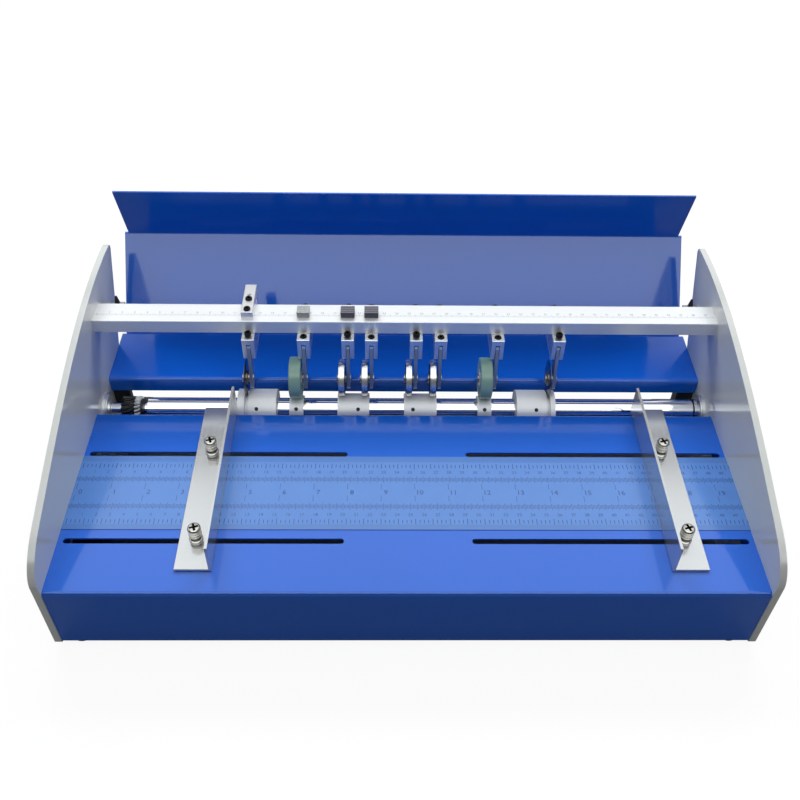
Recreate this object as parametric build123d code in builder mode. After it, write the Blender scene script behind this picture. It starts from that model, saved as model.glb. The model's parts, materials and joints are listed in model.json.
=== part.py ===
from build123d import *
import os
from math import atan2, cos, hypot, pi, radians, sin, sqrt, tan

# Desktop paper creasing machine. Millimetres, +X right, +Y to the back, +Z up. The origin is on the desk,
# under the middle of the machine's outline. Heights named "drop" or "rise" are measured from the table top.

# ---------------------------------------------------------------- overall sizes
inner_width = 500.0  # clear width between the side plates
table_depth = 172.0  # front table, front to back
tool_gap = 40.0  # open strip between the two tables, over the shaft
rear_depth = 60.5
apron_height = 62.0
foot_height = 5.0
plate_thickness = 5.0
plate_proud = 1.0  # the side plates stand this far in front of the apron
sheet = 1.5  # folded sheet metal
fold_radius = 3.0  # outside radius of its folds
running_fit = 0.05  # radial clearance of a shaft in its bore
free_gap = 0.3  # clearance between pieces that pass close by
edge_break = 0.4  # chamfer on machined edges
cut_margin = 1.0  # cutters and joining stubs reach this far past a face

half_width = inner_width / 2
table_z = foot_height + apron_height

# ---------------------------------------------------------------- cover, measured from its hinge axis
cover_side_gap = 2.0
cover_panel = 88.0
cover_flange = 47.5
cover_lean = 49.3  # panel, above the horizontal, when open
cover_fold = 51.0  # flange, folded forward from the panel
cover_notch = 3.3
notch_end = 2.0  # the notch runs out this far before the flange's lip
knuckle_radius = 3.0
knuckle_length = 20.0
knuckle_gap = 0.5
hinge_pin_radius = 1.5
hinge_reach = 3.2  # hinge axis behind the rear table's edge
hinge_spread = 170.0  # each hinge, from the middle

cover_half = half_width - cover_side_gap
panel_start = knuckle_radius + 0.6
skin = sheet / 2  # the panel's front face, from the hinge axis


def cover_point(along, lean, start=(0.0, 0.0)):
    """A point at a distance from start, in the direction of lean above the +Y axis."""
    return (start[0] + along * cos(radians(lean)), start[1] + along * sin(radians(lean)))


cover_foot = cover_point(panel_start, cover_lean, cover_point(skin, cover_lean + 90))
cover_bend = cover_point(cover_panel, cover_lean, cover_point(skin, cover_lean + 90))
cover_lip = cover_point(cover_flange, cover_lean + cover_fold, cover_bend)


def folded_section(corners, radius):
    """Section of a folded sheet. The corners run along one face, and the thickness lies to their right."""
    with BuildSketch() as section:
        with BuildLine():
            FilletPolyline(*corners, radius=radius)
            offset(amount=sheet, side=Side.RIGHT, closed=True)
        make_face()
    return section.sketch


cover_section = folded_section((cover_foot, cover_bend, cover_lip), fold_radius - sheet)
cover_reach = cover_section.bounding_box().max.X

# ---------------------------------------------------------------- places along Y
hinge_from_front = table_depth + tool_gap + rear_depth + hinge_reach
overall_depth = plate_proud + hinge_from_front + cover_reach
front = plate_proud - overall_depth / 2  # apron's front face
table_back = front + table_depth
rear_front = table_back + tool_gap
rear_back = rear_front + rear_depth
hinge_y = front + hinge_from_front
hinge_z = table_z - knuckle_radius
shaft_y = table_back + tool_gap / 2
shaft_z = table_z - 15.0

# ---------------------------------------------------------------- side plates
# Top edge's curve points, from the apron's front and the table top: first the nose, then the long crest.
nose_curve = [(-plate_proud, 8.0), (-plate_proud, 17.0), (8.0, 28.2), (30.0, 35.0)]
plate_tail = (hinge_from_front + 20.3, 80.0)
crest_rise = (0.31, 62.9)  # slope where it leaves the nose, and height of its first control point
crest_crown = (91.0, 89.5)  # second control point, ahead of the tail and above the table
plate_heel = (hinge_from_front - 21.7, -3.0)  # where the leaning rear edge turns straight down
crest_start = nose_curve[-1]
crest_first = (crest_start[0] + (crest_rise[1] - crest_start[1]) / crest_rise[0], crest_rise[1])
crest_second = (plate_tail[0] - crest_crown[0], crest_crown[1])
crest_curve = [crest_start, crest_first, crest_second, plate_tail]
tail_radius = 4.0

# ---------------------------------------------------------------- front table and its fittings
table_lip = 12.0
table_foot_tab = 24.0  # apron's return at the bottom
side_flange = 18.0
slot_inner = 46.0
slot_outer = 4.0  # from the side plate
slot_setback = (44.5, table_depth - 44.3)  # each row of slots, from the front
ruler_front = slot_setback[0] + 10.0
ruler_back = slot_setback[1] - 2.7
ruler_thickness = 0.5
flange_screw_setback = (22.0, table_depth - 72.0, table_depth - 20.0)

# ---------------------------------------------------------------- paper guides
guide_leg = 26.0
guide_thickness = 2.0
guide_front = 18.5
guide_back = table_depth + 4.0
guide_lift = ruler_thickness + 0.1  # the guide's underside, above the table
guide_faces = (-137.0, 184.5)  # faces that the paper runs along
guide_screw_offset = 14.0
thumb_shank_radius = 2.0
thumb_hole_radius = thumb_shank_radius + 0.2
slot_width = 2 * (thumb_shank_radius + free_gap)
thumb_ring_radius = 5.0
thumb_neck_radius = 4.1
thumb_head_radius = 4.75
thumb_ring_height = 1.5
thumb_neck_height = 3.0
thumb_head_height = 9.5
cross_width = 1.2
cross_length = 6.0
cross_depth = 2.0
thumb_tip = 1.0  # shank's end below its nut
nut_width = 7.0
nut_height = 3.0
nut_gap = 0.2

# ---------------------------------------------------------------- rear table and its brackets
rear_lip = 13.4
rear_back_lip = 10.0
bracket_thickness = 2.5
bracket_width = 14.0
bracket_depth = 36.0
bracket_foot = 20.0

# ---------------------------------------------------------------- tool bar
bar_depth = 22.0
bar_height = 12.0
bar_front = shaft_y + 19.5
bar_bottom = table_z + 52.0
bar_top = bar_bottom + bar_height
bar_back = bar_front + bar_depth
tee_y = bar_front + bar_depth / 2
tee_mouth = 5.0
tee_mouth_height = 2.0
tee_width = 9.0
tee_height = 3.3
tee_fit = 0.15

# ---------------------------------------------------------------- shaft
roller_radius = 9.5
roller_chamfer = 0.8
journal_radius = 5.0
roller_left_inset = 36.0  # roller's ends, from the side plates
roller_right_inset = 5.0
shaft_end = half_width + plate_thickness - 1.0
bush_flange_radius = 13.6
bush_flange = 3.5
bush_radius = 9.0
circlip_x = half_width - 9.0
circlip_width = 1.2
circlip_depth = 1.0
circlip_stand = 0.5

# ---------------------------------------------------------------- gears
gear_module = 1.0
shaft_teeth = 19
pinion_teeth = 25
pressure_angle = 20.0
backlash = 0.25
tooth_root = 1.25  # dedendum, in modules
tooth_foot = 0.5  # each tooth is sunk this far into its root circle
gear_left_inset = 14.3  # shaft gear's outer face, from the side plate
gear_width = 11.0
ring_width = 4.5
hub_radius = 8.3
hub_end = 2.2
pinion_side_gap = 0.4
pinion_direction = -111.3  # from the shaft's axis to the pinion's, above +Y
output_radius = 3.0
output_end_gap = 2.0  # output shaft's end, from the side plate

# ---------------------------------------------------------------- motor
gearbox_thickness = 12.0
gearbox_front = 59.0  # gearbox edges, from the pinion's axis
gearbox_back = 12.0
gearbox_rise = 6.0
gearbox_drop = 24.0
motor_radius = 16.5
motor_length = 58.0
motor_setback = 41.0
motor_drop = 8.5
motor_corner = 3.0
motor_screw_inset = 6.0  # from the gearbox's edges

# ---------------------------------------------------------------- tool stations
station_x = (-127.0, -82.7, -47.2, -28.2, 8.0, 27.8, 73.8, 123.0)
station_tool = ("blade", "feed", "crease", "crease", "crease", "crease", "feed", "blade")
screw_raised = (True, False, True, False, True, False, False, True)
pad_width = (0.0, 10.0, 11.2, 11.2, 0.0, 0.0, 0.0, 0.0)  # none where 0
tool_node = {"blade": "slitting_blade", "feed": "feed_roller", "crease": "crease_wheel"}

hanger_width = 10.0
hanger_front = shaft_y + 11.0
hanger_back = bar_back + 6.5
hanger_bottom = table_z + 32.0
hanger_gap = 0.1  # under and behind the bar
lug_rise = 58.0
arm_thickness = 2.7
arm_side_gap = 0.35
hanger_slot = arm_thickness + 2 * arm_side_gap
slot_ceiling = table_z + 46.7
slot_back = shaft_y + 35.0
arm_top = table_z + 45.0
pivot_y = shaft_y + 29.0
pivot_z = table_z + 39.0
pivot_radius = 1.5
pivot_boss = 5.0
axle_y = shaft_y + 9.5
axle_z = table_z + 12.6
arm_tail = 8.6  # arm's end below the axle
arm_width = 10.8
arm_ahead = 4.2  # arm's front edge ahead of the axle
arm_slant = 7.9  # arm's front edge, foot to top
arm_corner = 2.5
arm_top_fall = 1.0  # arm's top edge drops this far towards the pivot

stud_radius = 2.5
stud_head_radius = 4.0
stud_head = 1.2
stud_rivet = 0.6
side_play = 0.15
wheel_face = 2.9  # wheel's right face, left of the arm's middle
spacer_radius = 4.0

crease_radius = 15.3
crease_width = 5.2
crease_rim = 1.0  # shoulder at each side of the raised rim
crease_step = 0.4
feed_radius = 17.3
feed_width = 10.0
feed_rim = 0.8
blade_radius = 15.4
blade_thickness = 1.2
blade_edge = 1.6
blade_tip = 0.2
blade_hub_radius = 6.0
blade_hub_width = 3.1
nip = 0.3  # wheels above their sleeves, with no paper in

pressure_y = shaft_y + 15.8
screw_head_radius = 2.75
screw_head_height = 3.0
screw_radius = 1.5
hex_width = 2.5
hex_depth = 1.6
raised_by = 4.2
sunk_top = 0.6
counterbore_gap = 0.2
lock_rise = 55.0
pad_depth = 9.0
pad_height = 5.0
pad_setback = 5.2

clamp_width = 9.5
clamp_height = 7.0
clamp_front = bar_front + 3.1
clamp_back = hanger_back + 10.5
clamp_screw_y = (bar_front + 6.9, bar_front + 19.9)
clamp_pin_y = (bar_back + hanger_back) / 2
clamp_pin_depth = 6.0  # into the hanger's lug

# ---------------------------------------------------------------- sleeves on the shaft
axle_reach = hypot(axle_y - shaft_y, axle_z - shaft_z)
crease_sleeve_radius = axle_reach - crease_radius - nip
feed_sleeve_radius = axle_reach - feed_radius - nip
anvil_radius = 17.0
anvil_width = 32.0
anvil_groove = 3.0
anvil_groove_floor = axle_reach - blade_radius - 0.6
blade_from_left = 7.3
blade_from_right = 5.6
pair_margin = 1.0
feed_sleeve_width = 11.6
set_screw_radius = 1.6
set_screw_angle = 135.0  # towards the front and up
set_screw_sunk = 0.3

# ---------------------------------------------------------------- stop pins, feet, screws, inlet
stop_y = hinge_y - 14.7
stop_z = table_z + 41.0
stop_radius = 2.0
stop_length = 12.0
bumper_inset = 6.0
bumper_height = 8.5
bumper_base = 2.6
bumper_tip = 0.9

foot_radius = 9.0
foot_inset = 12.0
frame_screw_radius = 2.0
frame_head_radius = 3.7
frame_head_height = 2.2
frame_screw_depth = 8.0
frame_head_round = 1.0
screw_through = 2.5  # a screw's tip past the sheet or bracket that it holds
bar_screw_spread = 6.0  # each screw at a bar's end, from the bar's middle
bar_screw_drop = 3.4
flange_screw_drop = 10.0
bracket_screw_setback = 17.0
bracket_screw_drop = (14.0, 46.0)
foot_chamfer = 1.0

inlet_front = 40.0
inlet_width = 46.0
inlet_height = 22.0
inlet_bottom = -48.0
inlet_rim = 2.0
inlet_proud = 1.0
inlet_depth = 22.0
socket_width = 22.0
socket_height = 15.0
socket_depth = 16.0
socket_corner = 3.0
socket_centre = -8.5
contact_width = 1.6
contact_length = 3.2
contact_reach = 9.0
contact_spread = 6.0
contact_offset = 2.0
rocker_centre = 13.0
rocker_width = 11.0
rocker_half = 8.0
rocker_pin_radius = 1.0
rocker_pin_reach = 1.2
rocker_rise = 1.2
rocker_body = 7.0
rocker_dish = 1.5  # how far its ends lie behind its middle
rocker_skirt = 1.0
rocker_end_gap = 1.0
rocker_pocket_depth = 12.0
rocker_axis_depth = 2.5
rocker_tilt = 7.0


def save(piece, name):
    """Names a finished piece and writes it to its own STEP file."""
    piece.part.label = name
    export_step(piece.part, f"parts/{name}.step")


def cylinder_x(radius, left, right, y, z, mode=Mode.ADD):
    """A cylinder along X between two places, joined to or cut from the part being built."""
    with BuildSketch(Plane.YZ.offset(left)) as disc:
        with Locations((y, z)):
            Circle(radius)
    extrude(disc.sketch, amount=right - left, mode=mode)


def block(low, high, mode=Mode.ADD):
    """A box between two corners."""
    with Locations(Vector(*[(a + b) / 2 for a, b in zip(low, high)])):
        Box(*[b - a for a, b in zip(low, high)], mode=mode)


os.makedirs("parts", exist_ok=True)

# ================================================================ frame
# Screws in each side plate: bar ends, front table's flanges and rear brackets, as (y, z).
bar_screws = [(tee_y + side * bar_screw_spread, bar_top - bar_screw_drop) for side in (-1, 1)]
flange_screws = [(front + setback, table_z - flange_screw_drop) for setback in flange_screw_setback]
bracket_front = rear_front + fold_radius
bracket_screws = [(bracket_front + bracket_screw_setback, table_z - drop) for drop in bracket_screw_drop]
frame_screws_yz = bar_screws + flange_screws + bracket_screws

pinion_reach = gear_module * (shaft_teeth + pinion_teeth) / 2
pinion_y = shaft_y + pinion_reach * cos(radians(pinion_direction))
pinion_z = shaft_z + pinion_reach * sin(radians(pinion_direction))
gearbox_y = (pinion_y - gearbox_front, pinion_y + gearbox_back)
gearbox_z = (pinion_z - gearbox_drop, pinion_z + gearbox_rise)
motor_screw_low = gearbox_z[0] + motor_screw_inset
motor_screws_yz = [
    (gearbox_y[0] + motor_screw_inset, gearbox_z[1] - motor_screw_inset),
    (gearbox_y[0] + motor_screw_inset, motor_screw_low),
    (gearbox_y[1] - motor_screw_inset, motor_screw_low),
]

inlet_y = (front + inlet_front, front + inlet_front + inlet_width)
inlet_z = (table_z + inlet_bottom, table_z + inlet_bottom + inlet_height)


def side_plate(inner_face, outward, extra_screws):
    """One side plate: its inner face stands at inner_face and its thickness goes outward (+1 or -1)."""
    with BuildPart() as plate:
        with BuildSketch(Plane.YZ.offset(inner_face)):
            with BuildLine():
                nose = [(front + y, table_z + z) for y, z in nose_curve]
                crest = [(front + y, table_z + z) for y, z in crest_curve]
                heel = (front + plate_heel[0], table_z + plate_heel[1])
                Line((nose[0][0], foot_height), nose[0])
                Bezier(*nose)
                Bezier(*crest)
                Line(crest[-1], heel)
                Line(heel, (heel[0], foot_height))
                Line((heel[0], foot_height), (nose[0][0], foot_height))
            make_face()
        extrude(amount=outward * plate_thickness)
        along_x = plate.edges().filter_by(Axis.X)
        fillet(along_x.group_by(Axis.Y)[-1], tail_radius)
        fillet(along_x.group_by(Axis.Z)[0], fold_radius)
        outer_face = inner_face + outward * plate_thickness
        ends = (min(inner_face, outer_face), max(inner_face, outer_face))
        cylinder_x(bush_radius, *ends, shaft_y, shaft_z, mode=Mode.SUBTRACT)
        cylinder_x(stop_radius, *ends, stop_y, stop_z, mode=Mode.SUBTRACT)
        for y, z in frame_screws_yz + extra_screws:
            cylinder_x(frame_screw_radius, *ends, y, z, mode=Mode.SUBTRACT)
    return plate


left_plate = side_plate(-half_width, -1, motor_screws_yz)
with BuildPart() as left_plate_cut:
    add(left_plate.part)
    block(
        (-half_width - plate_thickness, inlet_y[0], inlet_z[0]),
        (-half_width, inlet_y[1], inlet_z[1]),
        mode=Mode.SUBTRACT,
    )
save(left_plate_cut, "left_side_plate")
right_plate = side_plate(half_width, 1, [])
save(right_plate, "right_side_plate")

# Front table: apron, top and rear lip folded from one sheet, with a screwed flange at each side.
front_table_corners = (
    (front + table_foot_tab, foot_height),
    (front, foot_height),
    (front, table_z),
    (table_back, table_z),
    (table_back, table_z - table_lip),
)
front_table_section = folded_section(front_table_corners, fold_radius)
with BuildPart() as front_table:
    with BuildSketch(Plane.YZ.offset(-half_width)):
        add(front_table_section)
    extrude(amount=inner_width)
    for side in (-1, 1):
        outer = side * half_width
        inner = outer - side * sheet
        block(
            (min(outer, inner), front + fold_radius, table_z - side_flange),
            (max(outer, inner), table_back - fold_radius, table_z - sheet / 2),
        )
        for y, z in flange_screws:
            cylinder_x(frame_screw_radius, min(outer, inner), max(outer, inner), y, z, mode=Mode.SUBTRACT)
    slot_far = half_width - slot_outer
    with BuildSketch(Plane.XY.offset(table_z)):
        for setback in slot_setback:
            for side in (-1, 1):
                with Locations((side * (slot_inner + slot_far) / 2, front + setback)):
                    SlotOverall(slot_far - slot_inner, slot_width)
    extrude(amount=-2 * sheet, mode=Mode.SUBTRACT)
save(front_table, "front_table")

with BuildPart() as ruler_strip:
    block(
        (-half_width, front + ruler_front, table_z),
        (half_width, front + ruler_back, table_z + ruler_thickness),
    )
save(ruler_strip, "ruler_strip")

# Rear table: a folded sheet whose back edge carries the fixed knuckles of the cover's hinges.
rear_table_corners = (
    (rear_front, table_z - rear_lip),
    (rear_front, table_z),
    (rear_back, table_z),
    (rear_back, table_z - rear_back_lip),
)
rear_table_section = folded_section(rear_table_corners, fold_radius)
with BuildPart() as rear_table:
    with BuildSketch(Plane.YZ.offset(-half_width)):
        add(rear_table_section)
    extrude(amount=inner_width)
    for side in (-1, 1):
        for end in (-1, 1):
            near = side * hinge_spread + end * (knuckle_length / 2 + knuckle_gap)
            far = near + end * knuckle_length
            ends = (min(near, far), max(near, far))
            cylinder_x(knuckle_radius, *ends, hinge_y, hinge_z)
            block((ends[0], rear_back - fold_radius, table_z - sheet), (ends[1], hinge_y, table_z))
            cylinder_x(hinge_pin_radius, *ends, hinge_y, hinge_z, mode=Mode.SUBTRACT)
save(rear_table, "rear_table")

# Black angle brackets that carry the rear table and the two rear feet.
with BuildPart() as rear_brackets:
    bracket_back = bracket_front + bracket_depth
    bracket_top = table_z - sheet
    for side in (-1, 1):
        wall = side * half_width
        skin_x = sorted((wall, wall - side * bracket_thickness))
        width_x = sorted((wall, wall - side * bracket_width))
        foot_x = sorted((wall, wall - side * bracket_foot))
        block((skin_x[0], bracket_front, foot_height), (skin_x[1], bracket_back, bracket_top))
        block(
            (width_x[0], bracket_front, foot_height),
            (width_x[1], bracket_front + bracket_thickness, bracket_top),
        )
        block(
            (width_x[0], bracket_front, bracket_top - bracket_thickness),
            (width_x[1], bracket_back, bracket_top),
        )
        block(
            (foot_x[0], bracket_front, foot_height),
            (foot_x[1], bracket_back, foot_height + bracket_thickness),
        )
        for y, z in bracket_screws:
            cylinder_x(frame_screw_radius, *skin_x, y, z, mode=Mode.SUBTRACT)
save(rear_brackets, "rear_brackets")

# Tool bar: extruded aluminium with a tee slot along its underside.
with BuildPart() as tool_bar:
    block((-half_width, bar_front, bar_bottom), (half_width, bar_back, bar_top))
    chamfer(tool_bar.edges().filter_by(Axis.X), edge_break)
    block(
        (-half_width, tee_y - tee_mouth / 2, bar_bottom),
        (half_width, tee_y + tee_mouth / 2, bar_bottom + tee_mouth_height),
        mode=Mode.SUBTRACT,
    )
    block(
        (-half_width, tee_y - tee_width / 2, bar_bottom + tee_mouth_height),
        (half_width, tee_y + tee_width / 2, bar_bottom + tee_mouth_height + tee_height),
        mode=Mode.SUBTRACT,
    )
    for y, z in bar_screws:
        for side in (-1, 1):
            ends = sorted((side * half_width, side * (half_width - frame_screw_depth)))
            cylinder_x(frame_screw_radius, *ends, y, z, mode=Mode.SUBTRACT)
save(tool_bar, "tool_bar")

# Button-head screws through the side plates.
with BuildPart() as frame_screws:
    for side in (-1, 1):
        outer_face = side * (half_width + plate_thickness)
        head_x = sorted((outer_face, outer_face + side * frame_head_height))
        screws = [(y, z, frame_screw_depth) for y, z in bar_screws]
        screws += [(y, z, sheet + screw_through) for y, z in flange_screws]
        screws += [(y, z, bracket_thickness + screw_through) for y, z in bracket_screws]
        if side < 0:
            screws += [(y, z, 0.0) for y, z in motor_screws_yz]
        for y, z, depth in screws:
            cylinder_x(frame_head_radius, *head_x, y, z)
            tip = side * (half_width - depth)
            cylinder_x(frame_screw_radius, *sorted((outer_face, tip)), y, z)
    for end in (0, -1):
        fillet(frame_screws.faces().filter_by(Axis.X).group_by(Axis.X)[end].edges(), frame_head_round)
save(frame_screws, "frame_screws")

# Rubber feet: front pair under the apron's return, rear pair under the brackets.
with BuildPart() as rubber_feet:
    front_foot_y = front + foot_inset
    rear_foot_y = bracket_front + bracket_depth / 2
    foot_x = half_width - foot_inset
    foot_places = [(side * foot_x, y) for side in (-1, 1) for y in (front_foot_y, rear_foot_y)]
    with BuildSketch(Plane.XY):
        with Locations(*foot_places):
            Circle(foot_radius)
    extrude(amount=foot_height)
    chamfer(rubber_feet.faces().sort_by(Axis.Z)[:4].edges(), foot_chamfer)
save(rubber_feet, "rubber_feet")

# ================================================================ cover
with BuildPart() as top_cover:
    with BuildSketch(Plane.YZ.offset(-cover_half)):
        with Locations((hinge_y, hinge_z)):
            add(cover_section)
    extrude(amount=2 * cover_half)
    # The flange narrows towards the fold, a relief for bending.
    flange_lean = radians(cover_lean + cover_fold)
    flange_plane = Plane(
        origin=(0, hinge_y + cover_bend[0], hinge_z + cover_bend[1]),
        x_dir=(1, 0, 0),
        z_dir=(0, -sin(flange_lean), cos(flange_lean)),
    )
    with BuildSketch(flange_plane):
        for side in (-1, 1):
            with BuildLine():
                Polyline(
                    (side * cover_half, 0),
                    (side * (cover_half - cover_notch), 0),
                    (side * cover_half, cover_flange - notch_end),
                    close=True,
                )
            make_face()
    extrude(amount=2 * fold_radius, both=True, mode=Mode.SUBTRACT)
    # Moving knuckles, one at each hinge, joined to the panel by a short web.
    for side in (-1, 1):
        ends = (side * hinge_spread - knuckle_length / 2, side * hinge_spread + knuckle_length / 2)
        with BuildSketch(Plane.YZ.offset(ends[0])):
            with Locations((hinge_y, hinge_z)):
                Circle(knuckle_radius)
                web_align = (Align.MIN, Align.CENTER)
                Rectangle(panel_start + cut_margin, sheet, rotation=cover_lean, align=web_align)
                Circle(hinge_pin_radius + running_fit, mode=Mode.SUBTRACT)
        extrude(amount=knuckle_length)
save(top_cover, "top_cover")

with BuildPart() as hinge_pins:
    pin_half = 1.5 * knuckle_length + knuckle_gap
    for side in (-1, 1):
        middle = side * hinge_spread
        cylinder_x(hinge_pin_radius, middle - pin_half, middle + pin_half, hinge_y, hinge_z)
save(hinge_pins, "cover_hinge_pins")

# Stop pins that the closed cover rests near, and the rubber bumpers standing on them.
with BuildPart() as stop_pins:
    for side in (-1, 1):
        ends = sorted((side * (half_width + plate_thickness), side * (half_width - stop_length)))
        cylinder_x(stop_radius, *ends, stop_y, stop_z)
save(stop_pins, "stop_pins")

with BuildPart() as stop_bumpers:
    for side in (-1, 1):
        with Locations((side * (half_width - bumper_inset), stop_y, stop_z + bumper_height / 2)):
            Cone(bumper_base, bumper_tip, bumper_height)
        ends = sorted((side * half_width, side * (half_width - stop_length)))
        cylinder_x(stop_radius, *ends, stop_y, stop_z, mode=Mode.SUBTRACT)
save(stop_bumpers, "stop_bumpers")

# ================================================================ shaft and what turns with it
roller_left = -half_width + roller_left_inset
roller_right = half_width - roller_right_inset
with BuildPart() as drive_shaft:
    cylinder_x(journal_radius, -shaft_end, shaft_end, shaft_y, shaft_z)
    cylinder_x(roller_radius, roller_left, roller_right, shaft_y, shaft_z)
    for end in (0, -1):
        chamfer(drive_shaft.edges().filter_by(GeomType.CIRCLE).group_by(Axis.X)[end], roller_chamfer)
    with BuildSketch(Plane.YZ.offset(circlip_x)):
        with Locations((shaft_y, shaft_z)):
            Circle(roller_radius + cut_margin)
            Circle(roller_radius - circlip_depth, mode=Mode.SUBTRACT)
    extrude(amount=circlip_width, mode=Mode.SUBTRACT)
save(drive_shaft, "drive_shaft")

with BuildPart() as shaft_bushes:
    for side in (-1, 1):
        body = sorted((side * half_width, side * (half_width + plate_thickness)))
        flange = sorted((side * half_width, side * (half_width - bush_flange)))
        cylinder_x(bush_radius, *body, shaft_y, shaft_z)
        cylinder_x(bush_flange_radius, *flange, shaft_y, shaft_z)
        through = sorted((side * (half_width - bush_flange), side * (half_width + plate_thickness)))
        cylinder_x(journal_radius + running_fit, *through, shaft_y, shaft_z, mode=Mode.SUBTRACT)
save(shaft_bushes, "shaft_bushes")


def gear_section(teeth, turn, y, z):
    """Involute spur gear outline on the YZ plane: one tooth points along turn, in degrees above +Y."""
    pitch = gear_module * teeth / 2
    base = pitch * cos(radians(pressure_angle))
    tip = pitch + gear_module
    root = pitch - tooth_root * gear_module
    spread = tan(radians(pressure_angle)) - radians(pressure_angle)
    half_tooth = (pi * gear_module / 2 - backlash) / (2 * pitch) + spread

    def flank(radius, side):
        roll = sqrt(max((radius / base) ** 2 - 1.0, 0.0))
        angle = side * (half_tooth - (roll - atan2(roll, 1.0)))
        return (radius * cos(angle), radius * sin(angle))

    foot = root - tooth_foot
    steps = [base + (tip - base) * n / 4 for n in range(5)]
    with BuildSketch() as tooth:
        with BuildLine():
            for side in (-1, 1):
                Spline(*[flank(radius, side) for radius in steps])
                Line(flank(base, side), (foot * cos(side * half_tooth), foot * sin(side * half_tooth)))
            ThreePointArc(flank(tip, -1), (tip, 0), flank(tip, 1))
            Line(
                (foot * cos(half_tooth), -foot * sin(half_tooth)),
                (foot * cos(half_tooth), foot * sin(half_tooth)),
            )
        make_face()
    with BuildSketch() as section:
        with Locations(Location((y, z), turn)):
            Circle(root)
            with PolarLocations(0, teeth):
                add(tooth.sketch)
    return section.sketch


gear_left = -half_width + gear_left_inset
gear_right = gear_left + gear_width
ring_right = gear_right + ring_width
shaft_gear_outline = gear_section(shaft_teeth, pinion_direction, shaft_y, shaft_z)

with BuildPart() as shaft_gear:
    with BuildSketch(Plane.YZ.offset(gear_left)):
        add(shaft_gear_outline)
    extrude(amount=gear_width)
    cylinder_x(hub_radius, gear_right, ring_right + hub_end, shaft_y, shaft_z)
    cylinder_x(journal_radius, gear_left, ring_right + hub_end, shaft_y, shaft_z, mode=Mode.SUBTRACT)
save(shaft_gear, "shaft_gear")

with BuildPart() as gear_ring:
    with BuildSketch(Plane.YZ.offset(gear_right)):
        add(shaft_gear_outline)
    extrude(amount=ring_width)
    cylinder_x(hub_radius, gear_right, ring_right, shaft_y, shaft_z, mode=Mode.SUBTRACT)
save(gear_ring, "gear_ring")

with BuildPart() as motor_pinion:
    pinion_turn = pinion_direction + 180.0 + 180.0 / pinion_teeth
    with BuildSketch(Plane.YZ.offset(gear_left)):
        add(gear_section(pinion_teeth, pinion_turn, pinion_y, pinion_z))
    extrude(amount=gear_width - pinion_side_gap)
    stub_end = -half_width + output_end_gap
    cylinder_x(output_radius, stub_end, gear_left, pinion_y, pinion_z)
save(motor_pinion, "motor_pinion")

# Sleeves clamped on the shaft, as (left, right, radius), and the places of their set screws.
blade_shift = wheel_face + blade_hub_width / 2
left_anvil = station_x[0] - blade_shift - blade_from_left
right_anvil = station_x[7] - blade_shift + blade_from_right
tool_left = {"crease": wheel_face + crease_width, "feed": wheel_face + feed_width}
sleeves = [
    (left_anvil, left_anvil + anvil_width, anvil_radius),
    (right_anvil - anvil_width, right_anvil, anvil_radius),
]
for first, second in ((2, 3), (4, 5)):
    left_end = station_x[first] - tool_left["crease"] - pair_margin
    right_end = station_x[second] - wheel_face + pair_margin
    sleeves.append((left_end, right_end, crease_sleeve_radius))
for index in (1, 6):
    middle = station_x[index] - wheel_face - feed_width / 2
    sleeves.append((middle - feed_sleeve_width / 2, middle + feed_sleeve_width / 2, feed_sleeve_radius))
screw_shares = (0.5, 0.5, 0.65, 0.27, 0.5, 0.5)  # each set screw, along its sleeve


def set_screw_plane(left, right, share):
    """A plane on the shaft's axis at a sleeve's set screw, with its normal along the screw."""
    lean = radians(set_screw_angle)
    return Plane(
        origin=(left + (right - left) * share, shaft_y, shaft_z),
        x_dir=(1, 0, 0),
        z_dir=(0, cos(lean), sin(lean)),
    )


with BuildPart() as shaft_sleeves:
    for (left, right, radius), share in zip(sleeves, screw_shares):
        cylinder_x(radius, left, right, shaft_y, shaft_z)
        cylinder_x(roller_radius, left, right, shaft_y, shaft_z, mode=Mode.SUBTRACT)
        with BuildSketch(set_screw_plane(left, right, share).offset(roller_radius - cut_margin)):
            Circle(set_screw_radius)
        extrude(amount=radius, mode=Mode.SUBTRACT)
    for index in (0, 7):
        groove = station_x[index] - blade_shift
        with BuildSketch(Plane.YZ.offset(groove - anvil_groove / 2)):
            with Locations((shaft_y, shaft_z)):
                Circle(anvil_radius + cut_margin)
                Circle(anvil_groove_floor, mode=Mode.SUBTRACT)
        extrude(amount=anvil_groove, mode=Mode.SUBTRACT)
save(shaft_sleeves, "shaft_sleeves")

# Set screws of the sleeves, and the retaining ring at the right end of the roller.
with BuildPart() as shaft_fasteners:
    for (left, right, radius), share in zip(sleeves, screw_shares):
        with BuildSketch(set_screw_plane(left, right, share).offset(roller_radius)) as grub:
            Circle(set_screw_radius)
        extrude(amount=radius - roller_radius - set_screw_sunk)
    for left, right, radius in sleeves:
        cylinder_x(roller_radius, left, right, shaft_y, shaft_z, mode=Mode.SUBTRACT)
    with BuildSketch(Plane.YZ.offset(circlip_x)):
        with Locations((shaft_y, shaft_z)):
            Circle(roller_radius + circlip_stand)
            Circle(roller_radius - circlip_depth, mode=Mode.SUBTRACT)
            with Locations((0, -roller_radius)):
                Rectangle(roller_radius / 2, roller_radius, mode=Mode.SUBTRACT)
    extrude(amount=circlip_width)
save(shaft_fasteners, "shaft_fasteners")

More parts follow.
